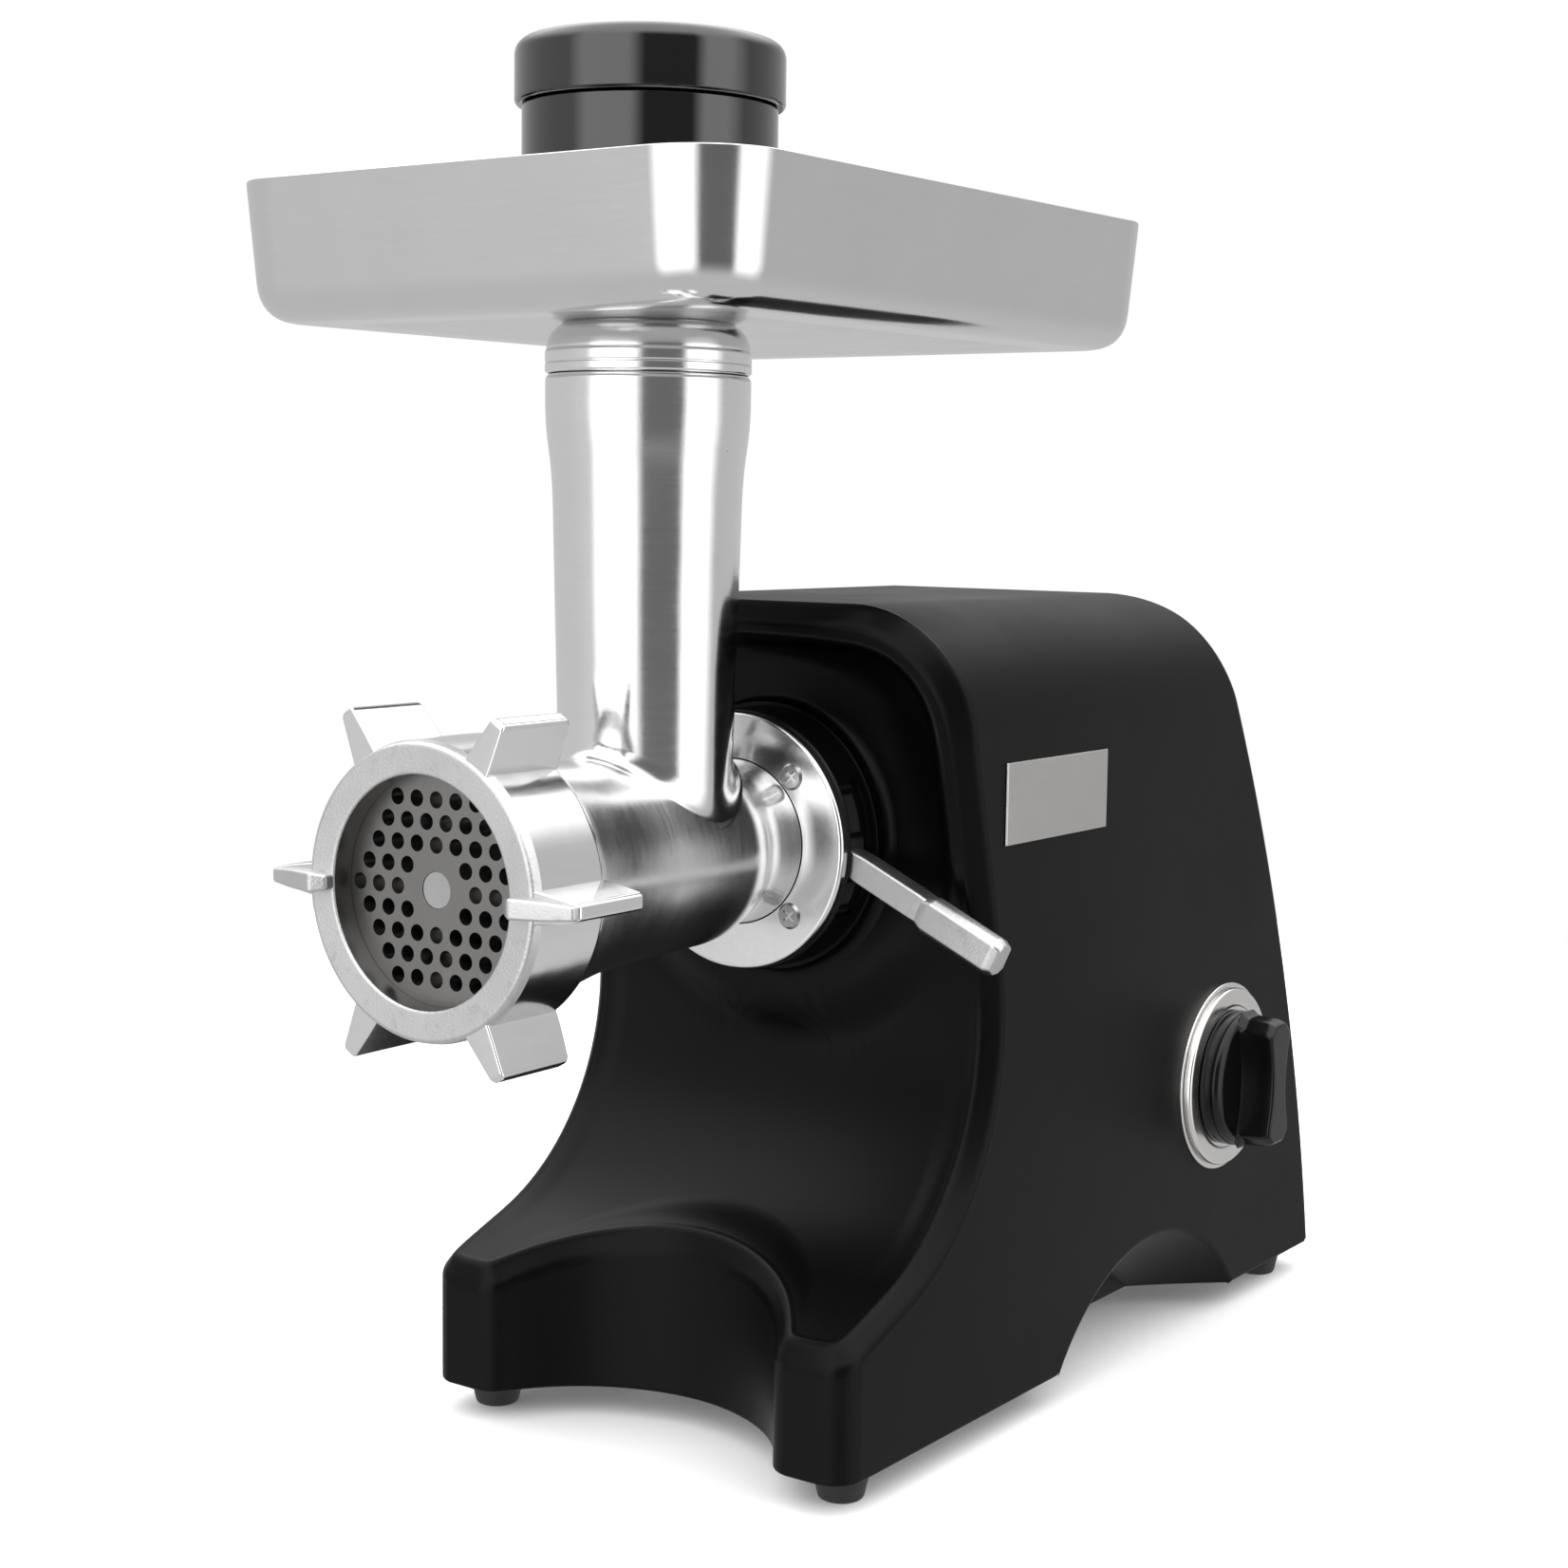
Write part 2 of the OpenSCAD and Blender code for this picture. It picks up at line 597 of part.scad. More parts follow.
// helical flight: a ribbon with its own thickness, from radius r0 to r1
flight_n = auger_turns * 24;
function flight_pt(i, r, dy) = let (a = i * 360 / 24, f = i / flight_n)
    [r * cos(a), 21.5 + 84 * f + dy, axis_h + r * sin(a)];
module auger() {
    color([0.78, 0.79, 0.8]) translate([-mid_x, -mid_y, 0]) {
        rod_y(21, 94.5, 9, r2 = 11.5);
        rod_y(7.2, 5, 4.7);
        translate([-4.5, 12.1, axis_h - 4.5]) cube([9, 9.1, 9]);
        rod_y(115.4, 12, 8);
        rod_y(127, 26, 6.9, $fn = 6);
        polyhedron([for (i = [0 : flight_n]) each [
                flight_pt(i, 7, 0), flight_pt(i, auger_r, 0.8),
                flight_pt(i, auger_r, 3.4), flight_pt(i, 7, 4.6)]],
            concat([[0, 1, 2], [0, 2, 3]],
                [for (i = [0 : flight_n - 1], e = [0 : 3], h = [0, 1])
                    let (a = 4 * i + e, b = 4 * i + (e + 1) % 4)
                    h == 0 ? [a, b + 4, b] : [a, a + 4, b + 4]],
                [[4 * flight_n, 4 * flight_n + 2, 4 * flight_n + 1],
                    [4 * flight_n, 4 * flight_n + 3, 4 * flight_n + 2]]),
            convexity = 10);
    }
}

module thrust_washer() {
    color([0.9, 0.9, 0.86]) translate([-mid_x, -mid_y, 0]) pipe_y(124.05, 2.6, 13.5, 8.08);
}

// ---- tray and pusher -----------------------------------------------------

// thin rounded plate of the tray's outline, pulled in by t
module tray_slab(z, t, h = 0.2) {
    translate([0, 0, z]) linear_extrude(h)
        round_rect(tray_x0 + t, tray_y0 + t, tray_x0 + tray_w - t, tray_y0 + tray_l - t,
            tray_corner_r - min(t, 12));
}

module tray_form(t) {
    low = tray_top - tray_wall_h + t;
    hull() {
        tray_slab(tray_top - 0.2 + t, t, $fn = 48);
        tray_slab(low + 10.5, 3 + t, $fn = 48);
        tray_slab(low + 5, 4.8 + t, $fn = 48);
        tray_slab(low + 1.6, 8 + t, $fn = 48);
        tray_slab(low, 12 + t, $fn = 48);
    }
}

module tray() {
    color([0.78, 0.79, 0.8]) translate([-mid_x, -mid_y, 0]) difference() {
        union() {
            tray_form(0);
            // neck that sits on the feed tube
            translate([0, tube_y, tube_top + 0.2]) cylinder(h = 6.3, r = 28.4);
            translate([0, tube_y, tube_top + 6.5]) cylinder(h = 3.5, r1 = 28.4, r2 = 27.2);
            translate([0, tube_y, tube_top + 10]) cylinder(h = 4.6, r1 = 27.2, r2 = 23.8);
            // spigot inside the tube
            translate([0, tube_y, tube_top - 8]) cylinder(h = 10, r = tube_bore_r - 0.05);
        }
        tray_form(tray_t);
        translate([0, tube_y, 280]) cylinder(h = 60, r = 20.9);
    }
}

module pusher() {
    color([0.03, 0.03, 0.035]) translate([-mid_x, -mid_y, 0]) difference() {
        union() {
            translate([0, tube_y, 324.4]) cylinder(h = 56, r = pusher_r);
            translate([0, tube_y, 380.4]) cylinder(h = 13, r = 33.4);
            translate([0, tube_y, 214]) cylinder(h = 112, r = 20.4);
        }
        // hollow for the spare plates
        translate([0, tube_y, 327.4]) cylinder(h = 90, r = 31.6);
        // hollow shaft, open below
        translate([0, tube_y, 210]) cylinder(h = 113, r = 17.8);
    }
}

module pusher_cap() {
    color([0.03, 0.03, 0.035]) translate([-mid_x, -mid_y, 0]) difference() {
        union() {
            translate([0, tube_y, 380.8]) cylinder(h = 15.3, r = 37);
            translate([0, tube_y, 396.1]) cylinder(h = 2, r1 = 37, r2 = 34);
        }
        translate([0, tube_y, 370]) cylinder(h = 24.2, r = 33.5);
    }
}

// ---- gearbox and motor ---------------------------------------------------

box_x0 = -58;
box_x1 = 44;
box_z0 = 90;
box_z1 = 216;
box_screws = [for (x = [box_x0 + 6, box_x1 - 6], z = [box_z0 + 6, box_z1 - 6]) [x, z]];

module gearbox_front() {
    color([0.7, 0.7, 0.7]) translate([-mid_x, -mid_y, 0]) difference() {
        union() {
            slab_y(168, 6) round_rect(box_x0, box_z0, box_x1, box_z1, 8);
            rod_y(165.9, 10, 20);
        }
        rod_y(160, 30, 16.03);
        rod_y(170, 10, 6.53, lay_x, lay_z);
        for (p = box_screws) rod_y(160, 30, 2.1, p[0], p[1]);
    }
}

module gearbox_rear() {
    color([0.68, 0.68, 0.68]) translate([-mid_x, -mid_y, 0]) difference() {
        slab_y(174.1, 40) round_rect(box_x0, box_z0, box_x1, box_z1, 8);
        difference() {
            slab_y(173, 37) round_rect(box_x0 + 3, box_z0 + 3, box_x1 - 3, box_z1 - 3, 5);
            for (p = box_screws) rod_y(173, 40, 5, p[0], p[1]);
            rod_y(204.7, 8, 15);
        }
        rod_y(204, 7.7, 11.03);
        rod_y(206, 10, 6.53, lay_x, lay_z);
        rod_y(200, 30, 9, 0, motor_z);
        for (p = box_screws) rod_y(172, 30, 1.7, p[0], p[1]);
    }
}

module gearbox_screws() {
    color([0.6, 0.6, 0.6]) translate([-mid_x, -mid_y, 0]) for (p = box_screws) {
        rod_y(165, 3, 3.6, p[0], p[1]);
        rod_y(168, 20, 1.65, p[0], p[1]);
    }
}

module output_wheel() {
    color([0.5, 0.5, 0.48]) translate([-mid_x, -mid_y, 0]) difference() {
        union() {
            slab_y(stage2_y, 12) translate([0, axis_h]) gear_2d(module_2, wheel2_z, lay_a);
            rod_y(176.3, 24, 9.98);
            rod_y(132, 46, 11.9);
            rod_y(200, 11.4, 5.03);
        }
        // socket for the auger's drive end
        rod_y(120, 40, 7.2, $fn = 6);
    }
}

module layshaft() {
    color([0.5, 0.5, 0.48]) translate([-mid_x, -mid_y, 0]) {
        slab_y(stage2_y - 1, 14.5) translate([lay_x, lay_z])
            gear_2d(module_2, pinion2_z, lay_a + 180 + 180 / pinion2_z);
        slab_y(stage1_y, 9) translate([lay_x, lay_z]) gear_2d(module_1, wheel_z, motor_a);
        rod_y(170.4, 43.4, 2.97, lay_x, lay_z);
    }
}

module output_bearings() {
    color([0.75, 0.75, 0.76]) translate([-mid_x, -mid_y, 0]) {
        pipe_y(165.9, 10, 16, 12);
        pipe_y(205.1, 6.4, 11, 5.1);
    }
}

module lay_bearings() {
    color([0.75, 0.75, 0.76]) translate([-mid_x, -mid_y, 0])
        for (y = [170.2, 210.3]) pipe_y(y, 3.6, 6.5, 3.03, lay_x, lay_z);
}

module armature() {
    color([0.6, 0.45, 0.3]) translate([-mid_x, -mid_y, 0]) {
        slab_y(stage1_y - 0.5, 10) translate([0, motor_z])
            gear_2d(module_1, pinion_z, motor_a + 180 + 180 / pinion_z);
        rod_y(204, 134, 3.97, 0, motor_z);
        // laminated core, windings and commutator
        for (i = [0 : 11]) rotate_about(i * 30) translate([17, 236, -1.6]) cube([5.5, 54, 3.2]);
        rod_y(236, 54, 17.5, 0, motor_z);
        rod_y(228, 8, 12, 0, motor_z, r2 = 17);
        rod_y(290, 8, 17, 0, motor_z, r2 = 12);
        rod_y(302, 14, 11, 0, motor_z);
    }
}

// turns its child about the motor axis
module rotate_about(a) {
    translate([0, 0, motor_z]) rotate([0, a, 0]) children();
}

module motor_fan() {
    color([0.12, 0.12, 0.12]) translate([-mid_x, -mid_y, 0]) {
        pipe_y(218, 3, 28, 4, 0, motor_z);
        for (i = [0 : 9]) rotate_about(i * 36) translate([10, 220.9, -0.8]) cube([18, 5, 1.6]);
    }
}

module stator() {
    color([0.45, 0.45, 0.47]) translate([-mid_x, -mid_y, 0]) difference() {
        slab_y(234, 58) translate([0, motor_z]) difference() {
            round_rect(-38, -38, 38, 38, 12);
            circle(23.2);
            // winding windows
            for (s = [-1, 1]) translate([s * 27, 0]) square([9, 34], center = true);
        }
        for (x = [-32, 32], z = [-32, 32]) rod_y(230, 70, 2.1, x, motor_z + z);
    }
}

module field_coils() {
    color([0.72, 0.42, 0.2]) translate([-mid_x, -mid_y, 0]) for (s = [-1, 1]) {
        translate([s * 27 - 4, 227, motor_z - 16]) cube([8, 72, 32]);
        for (y = [227, 293]) translate([s * 27 - 4, y, motor_z - 22]) cube([8, 6, 44]);
    }
}

module motor_bracket() {
    color([0.6, 0.6, 0.6]) translate([-mid_x, -mid_y, 0]) {
        difference() {
            union() {
                slab_y(320, 4) translate([0, motor_z]) round_rect(-38, -38, 38, 38, 8);
                rod_y(318, 12, 13, 0, motor_z);
            }
            rod_y(310, 30, 11.03, 0, motor_z);
            for (x = [-32, 32], z = [-32, 32]) rod_y(310, 30, 2.1, x, motor_z + z);
        }
        // long bolts that hold the stator to the gearbox
        for (x = [-32, 32], z = [-32, 32]) {
            rod_y(214.4, 106, 2, x, motor_z + z);
            rod_y(324, 3, 3.6, x, motor_z + z);
        }
        // saddle down to the base plate
        translate([-30, 318, base_z + 3.2]) cube([60, 4, motor_z - 36 - base_z - 3.2]);
        translate([-30, 300, base_z + 3.2]) cube([60, 22, 3]);
    }
}

module motor_bearings() {
    color([0.75, 0.75, 0.76]) translate([-mid_x, -mid_y, 0]) {
        pipe_y(320, 7, 11, 4.03, 0, motor_z);
        pipe_y(210.05, 4, 8.95, 4.03, 0, motor_z);
    }
}

module brush_holders() {
    color([0.55, 0.4, 0.15]) translate([-mid_x, -mid_y, 0]) for (a = [0, 180]) rotate_about(a) {
        translate([11.3, 304, -3.5]) cube([24, 9, 7]);
        translate([30, 306, -2]) cube([3, 12, 4]);
    }
}

// ---- controls and electrics ----------------------------------------------

module escutcheon() {
    color([0.85, 0.84, 0.82]) translate([half_w - mid_x, knob_y - mid_y, knob_z]) rotate([0, 90, 0])
        difference() {
            union() {
                cylinder(h = 1.4, r = escutcheon_r + 0.7);
                translate([0, 0, 1.4]) cylinder(h = 0.8, r = escutcheon_r - 2);
                translate([0, 0, 2.2]) cylinder(h = 1.6, r1 = escutcheon_r - 0.4, r2 = escutcheon_r - 1.2);
            }
            translate([0, 0, -1]) cylinder(h = 10, r = 6.2);
            translate([0, 0, 3.2]) cylinder(h = 10, r = knob_r + 1.2);
        }
}

module knob() {
    color([0.02, 0.02, 0.025]) translate([half_w + 3.5 - mid_x, knob_y - mid_y, knob_z]) rotate([0, 90, 0]) {
        out = knob_out - half_w - 3.5;
        difference() {
            union() {
                cylinder(h = 5, r = knob_r);
                translate([0, 0, 5]) cylinder(h = 1.6, r1 = knob_r, r2 = knob_r - 2);
                // grip bar, waisted in its middle
                linear_extrude(out) difference() {
                    round_rect(-21, -7.6, 21, 7.6, 3.5);
                    for (s = [-1, 1]) translate([0, s * 34]) circle(29.2);
                }
            }
            // pointer groove
            translate([-21.5, -0.7, out - 0.8]) cube([12, 1.4, 2]);
        }
        translate([0, 0, -18.2]) cylinder(h = 18.4, r = 2.97);
    }
}

module rotary_switch() {
    color([0.15, 0.15, 0.16]) translate([-mid_x, -mid_y, 0]) difference() {
        union() {
            slab_x(42, 28) round_rect(knob_y - 22, knob_z - 22, knob_y + 22, knob_z + 22, 4);
            translate([69, knob_y, knob_z]) rotate([0, 90, 0]) cylinder(h = 9.4, r = 6);
            for (z = [-14, -5, 5, 14]) translate([34, knob_y - 8, knob_z + z - 1]) cube([9, 6, 1.6]);
        }
        translate([55, knob_y, knob_z]) rotate([0, 90, 0]) cylinder(h = 40, r = 3);
    }
}

module cord_inlet() {
    color([0.05, 0.05, 0.05]) translate([-mid_x, -mid_y, 0]) difference() {
        union() {
            rod_y(374, 12.4, 8.9, 0, 40);
            rod_y(385.5, 3, 11.5, 0, 40);
            rod_y(388.5, 3.7, 8, 0, 40, r2 = 6.6);
            rod_y(372, 4.4, 11.5, 0, 40);
        }
        rod_y(360, 60, 3.6, 0, 40);
    }
}

module terminal_block() {
    color([0.85, 0.84, 0.78]) translate([-mid_x, -mid_y, 0]) difference() {
        translate([-20, 345, base_z + 3.2]) cube([40, 14, 13]);
        for (i = [0 : 3]) translate([-15 + i * 10, 352, base_z + 8]) cylinder(h = 20, r = 2.6);
    }
}

housing();
front_cover();
base_plate();
feet();
foot_screws();
base_screws();
collar();
face_ring();
face_ring_screws();
lock_lever();
badge();
head_casting();
ring_nut();
cutting_plate();
knife();
auger();
thrust_washer();
tray();
pusher();
pusher_cap();
gearbox_front();
gearbox_rear();
gearbox_screws();
output_wheel();
layshaft();
output_bearings();
lay_bearings();
armature();
motor_fan();
stator();
field_coils();
motor_bracket();
motor_bearings();
brush_holders();
escutcheon();
knob();
rotary_switch();
cord_inlet();
terminal_block();
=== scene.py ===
"""Looks of the electric meat grinder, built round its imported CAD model."""
import math

import bmesh
import bpy
import numpy as np
from mathutils import Matrix, Vector


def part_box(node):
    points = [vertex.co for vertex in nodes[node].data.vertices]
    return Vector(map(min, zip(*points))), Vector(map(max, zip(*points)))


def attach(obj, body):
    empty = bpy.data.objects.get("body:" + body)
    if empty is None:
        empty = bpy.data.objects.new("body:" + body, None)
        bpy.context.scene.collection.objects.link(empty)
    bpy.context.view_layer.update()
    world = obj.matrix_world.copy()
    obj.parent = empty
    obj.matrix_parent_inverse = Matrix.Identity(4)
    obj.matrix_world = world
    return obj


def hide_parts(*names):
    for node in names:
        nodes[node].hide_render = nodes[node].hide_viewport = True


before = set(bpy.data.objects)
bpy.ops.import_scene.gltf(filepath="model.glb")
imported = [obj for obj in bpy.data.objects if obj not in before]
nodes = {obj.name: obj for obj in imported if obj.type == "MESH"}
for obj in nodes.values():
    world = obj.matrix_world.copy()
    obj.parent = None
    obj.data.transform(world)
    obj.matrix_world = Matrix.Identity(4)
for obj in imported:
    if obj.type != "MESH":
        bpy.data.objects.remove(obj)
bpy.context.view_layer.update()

MM = 0.001
UP = np.array([0.0, 0.0, 1.0])
MID_Y = 193.6           # the ring nut's front face lies this far in front of the frame's origin
FROM_AXIS = np.array([5.8, 0.0, 0.0])  # the auger's axis, seen from the frame's origin


def box_of(name):
    """A node's box in millimetres, with X measured from the auger's axis."""
    lo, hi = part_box(name)
    return np.array(lo) / MM - FROM_AXIS, np.array(hi) / MM - FROM_AXIS


# ---- camera -----------------------------------------------------------------

def make_camera():
    turn, pitch, roll = (math.radians(v) for v in (35.25, 6.28, 0.76))
    ahead = Vector((-math.sin(turn) * math.cos(pitch), math.cos(turn) * math.cos(pitch),
                    -math.sin(pitch)))
    side = Vector((math.cos(turn), math.sin(turn), 0))
    up = side.cross(ahead)
    right = side * math.cos(roll) + up * math.sin(roll)
    top = up * math.cos(roll) - side * math.sin(roll)
    data = bpy.data.cameras.new("camera")
    data.sensor_width = 36
    data.lens = 59.317
    data.clip_start, data.clip_end = 0.01, 50
    camera = bpy.data.objects.new("camera", data)
    place = Matrix((right, top, -ahead)).transposed().to_4x4()
    place.translation = Vector((453.72, -667.53, 275.08)) * MM
    camera.matrix_world = place
    bpy.context.scene.collection.objects.link(camera)
    bpy.context.scene.camera = camera


make_camera()


# ---- materials --------------------------------------------------------------

class Tree:
    """Short spelling for a material's node tree."""

    def __init__(self, name):
        self.mat = bpy.data.materials.new(name)
        self.mat.use_nodes = True
        self.tree = self.mat.node_tree
        self.shader = self.tree.nodes["Principled BSDF"]
        self.coords = self.tree.nodes.new("ShaderNodeTexCoord").outputs["Object"]

    def node(self, kind, inputs=(), **settings):
        n = self.tree.nodes.new("ShaderNode" + kind)
        for key, value in settings.items():
            setattr(n, key, value)
        for key, value in dict(inputs).items():
            self.put(n.inputs[key], value)
        return n

    def put(self, socket, value):
        if isinstance(value, bpy.types.NodeSocket):
            self.tree.links.new(value, socket)
        else:
            socket.default_value = value

    def scaled(self, scale, turn=(0, 0, 0)):
        return self.node("Mapping", {"Vector": self.coords, "Scale": scale, "Rotation": turn}).outputs[0]

    def noise(self, scale, detail=3.0, rough=0.55, where=None):
        n = self.node("TexNoise", {"Vector": where or self.coords, "Scale": scale, "Detail": detail,
                                   "Roughness": rough})
        return n.outputs["Fac"]

    def span(self, value, low, high, from_low=0.3, from_high=0.7):
        n = self.node("MapRange", {"Value": value, "From Min": from_low, "From Max": from_high,
                                   "To Min": low, "To Max": high})
        return n.outputs[0]

    def blend(self, factor, a, b):
        n = self.node("Mix", data_type="RGBA")
        self.put(n.inputs[0], factor)
        self.put(n.inputs[6], a)
        self.put(n.inputs[7], b)
        return n.outputs[2]

    def bump(self, height, strength, distance=0.0002, over=None):
        inputs = {"Height": height, "Strength": strength, "Distance": distance}
        if over:
            inputs["Normal"] = over
        return self.node("Bump", inputs).outputs[0]

    def set(self, **values):
        for key, value in values.items():
            self.put(self.shader.inputs[key.replace("_", " ")], value)
        return self.mat


def grey(v, warm=0.0):
    return (v * (1 + warm), v, v * (1 - warm), 1.0)


def satin_black(name, base=0.011, rough=(0.36, 0.46), grain=0.25, specular=0.5):
    t = Tree(name)
    cloud = t.noise(18.0, 4)
    fine = t.noise(2600.0, 2)
    t.set(Base_Color=t.blend(cloud, grey(base * 0.85), grey(base * 1.2, 0.01)),
          Roughness=t.span(cloud, *rough),
          Normal=t.bump(fine, grain, 0.00006))
    t.shader.inputs["Specular IOR Level"].default_value = specular
    return t.mat


def gloss_black(name, base=0.003, rough=(0.07, 0.12), specular=0.7, coat=0.4):
    t = Tree(name)
    wave = t.noise(60.0, 2)
    specks = t.noise(900.0, 3)
    t.set(Base_Color=t.blend(specks, grey(base * 0.8), grey(base * 1.3)),
          Roughness=t.span(specks, *rough),
          Normal=t.bump(wave, 0.10, 0.0004))
    t.shader.inputs["Specular IOR Level"].default_value = specular
    t.shader.inputs["Coat Weight"].default_value = coat
    t.shader.inputs["Coat Roughness"].default_value = 0.05
    return t.mat


def metal(name, value, rough, waves=0.0, lines=None, line_depth=0.1, grain=0.0, warm=0.0, pits=0.0):
    """Bare metal: clouded roughness, optional brush lines along one axis, casting waves and grain."""
    t = Tree(name)
    cloud = t.noise(45.0, 5)
    normal = None
    finish = cloud
    if waves:
        normal = t.bump(t.noise(38.0, 2), waves, 0.0006)
    if lines:
        scratch = t.noise(1.0, 3, 0.7, t.scaled(lines))
        normal = t.bump(scratch, line_depth, 0.00008, normal)
        finish = t.node("Math", {0: cloud, 1: scratch}, operation="ADD").outputs[0]
        finish = t.node("Math", {0: finish, 1: 0.5}, operation="MULTIPLY").outputs[0]
    if grain:
        normal = t.bump(t.noise(1500.0, 3), grain, 0.00015, normal)
    colour = t.blend(finish, grey(value * 0.93, warm), grey(value * 1.04, warm))
    if pits:
        spots = t.span(t.noise(260.0, 5), 1.0, 0.0, 0.34, 0.42)
        soft = t.node("Math", {0: spots, 1: pits}, operation="MULTIPLY").outputs[0]
        colour = t.blend(soft, colour, grey(value * 0.55, warm))
    t.set(Base_Color=colour, Metallic=1.0, Roughness=t.span(finish, *rough))
    if normal:
        t.set(Normal=normal)
    return t.mat


def rubber(name):
    t = Tree(name)
    fine = t.noise(1400.0, 4)
    t.set(Base_Color=t.blend(fine, grey(0.008), grey(0.016)), Roughness=t.span(fine, 0.55, 0.7),
          Normal=t.bump(fine, 0.4, 0.0001))
    return t.mat


def plain_plastic(name, colour, rough=0.5):
    t = Tree(name)
    fine = t.noise(700.0, 4)
    dark = tuple(c * 0.85 for c in colour[:3]) + (1,)
    t.set(Base_Color=t.blend(fine, dark, colour), Roughness=t.span(fine, rough - 0.06, rough + 0.06),
          Normal=t.bump(fine, 0.15, 0.0001))
    return t.mat


def copper(name):
    t = Tree(name)
    turns = t.node("TexWave", {"Vector": t.coords, "Scale": 260.0, "Distortion": 1.2, "Detail": 2.0},
                   bands_direction="Z").outputs["Fac"]
    t.set(Base_Color=t.blend(turns, (0.35, 0.12, 0.04, 1), (0.75, 0.33, 0.13, 1)), Metallic=1.0,
          Roughness=t.span(turns, 0.3, 0.45), Normal=t.bump(turns, 0.6, 0.0003))
    return t.mat


M = {
    "shell": satin_black("shell_black", 0.0030, (0.36, 0.46), specular=0.09),
    "panel": satin_black("panel_black", 0.0018, (0.28, 0.36), 0.2, 0.10),
    "collar": satin_black("collar_black", 0.0025, (0.26, 0.34), 0.15, 0.2),
    "gloss": gloss_black("gloss_black"),
    "knob": gloss_black("knob_black", 0.002, (0.14, 0.22), 0.3, 0.0),
    "cast": metal("polished_casting", 0.80, (0.19, 0.28), waves=0.25, lines=(60, 700, 60), line_depth=0.1,
                  grain=0.10, pits=0.10),
    "tube": metal("polished_tube", 0.80, (0.11, 0.19), waves=0.22, lines=(60, 60, 900), line_depth=0.12,
                  grain=0.06),
    "annulus": metal("blasted_casting", 0.62, (0.38, 0.5), grain=0.7, waves=0.2, pits=0.2),
    "nut": metal("polished_nut", 0.80, (0.12, 0.2), waves=0.3, lines=(500, 60, 500), line_depth=0.1),
    "flange": metal("turned_ring", 0.78, (0.16, 0.26), lines=(700, 60, 700), line_depth=0.12, waves=0.1),
    "tray": metal("tray_sheet", 0.70, (0.11, 0.17), lines=(90, 90, 1500), line_depth=0.08, grain=0.05),
    "tray_under": metal("tray_floor", 0.66, (0.14, 0.22), lines=(900, 90, 90), line_depth=0.08,
                        grain=0.05),
    "tray_in": metal("tray_inside", 0.64, (0.2, 0.3), lines=(90, 900, 90), line_depth=0.12, grain=0.1),
    "lever": metal("lever_casting", 0.58, (0.3, 0.42), grain=0.35, waves=0.3, pits=0.2),
    # plate steel: its own grey darkened with painted shade for the shadowed recess of the ring nut; the
    # cutting plate and the nut's bore wall use it
    "plate": metal("plate_steel", 0.24, (0.28, 0.4), lines=(900, 60, 90), line_depth=0.15, warm=0.02),
    "steel": metal("plain_steel", 0.48, (0.28, 0.4), grain=0.2),
    "screw": metal("screw_steel", 0.42, (0.18, 0.3), grain=0.15, warm=0.01),
    "chrome": metal("chrome_ring", 0.74, (0.14, 0.24), lines=(90, 900, 900), line_depth=0.12, warm=0.015),
    "badge": metal("badge_face", 0.52, (0.3, 0.42), lines=(60, 60, 1600), line_depth=0.1, warm=0.03),
    "rubber": rubber("foot_rubber"),
    "dark": plain_plastic("dark_plastic", (0.02, 0.02, 0.02, 1)),
    "nylon": plain_plastic("nylon", (0.7, 0.68, 0.6, 1)),
    "iron": metal("laminations", 0.18, (0.45, 0.6), lines=(60, 1800, 60), line_depth=0.6),
    "gear": metal("gear_steel", 0.36, (0.3, 0.42), grain=0.3),
    "copper": copper("winding"),
    "zinc": metal("die_cast", 0.42, (0.4, 0.55), grain=0.6),
}


# ---- mesh helpers -----------------------------------------------------------

def normals_of(grid, wrap):
    """Unit normals of a grid of points; wrap says that the last column joins the first."""
    rows = len(grid)
    down = np.gradient(grid, axis=0, edge_order=2 if rows > 2 else 1)
    if wrap:
        across = np.roll(grid, -1, 1) - np.roll(grid, 1, 1)
    else:
        across = np.gradient(grid, axis=1, edge_order=2 if grid.shape[1] > 2 else 1)
    normal = np.cross(down, across)
    size = np.linalg.norm(normal, axis=2, keepdims=True)
    for row in (0, rows - 1):  # a pole takes its neighbours' mean
        if size[row].max() < 1e-14:
            near = 1 if row == 0 else rows - 2
            mean = (normal[near] / np.maximum(size[near], 1e-20)).mean(0)
            normal[row], size[row] = mean, np.linalg.norm(mean)
    return normal / np.maximum(size, 1e-20)


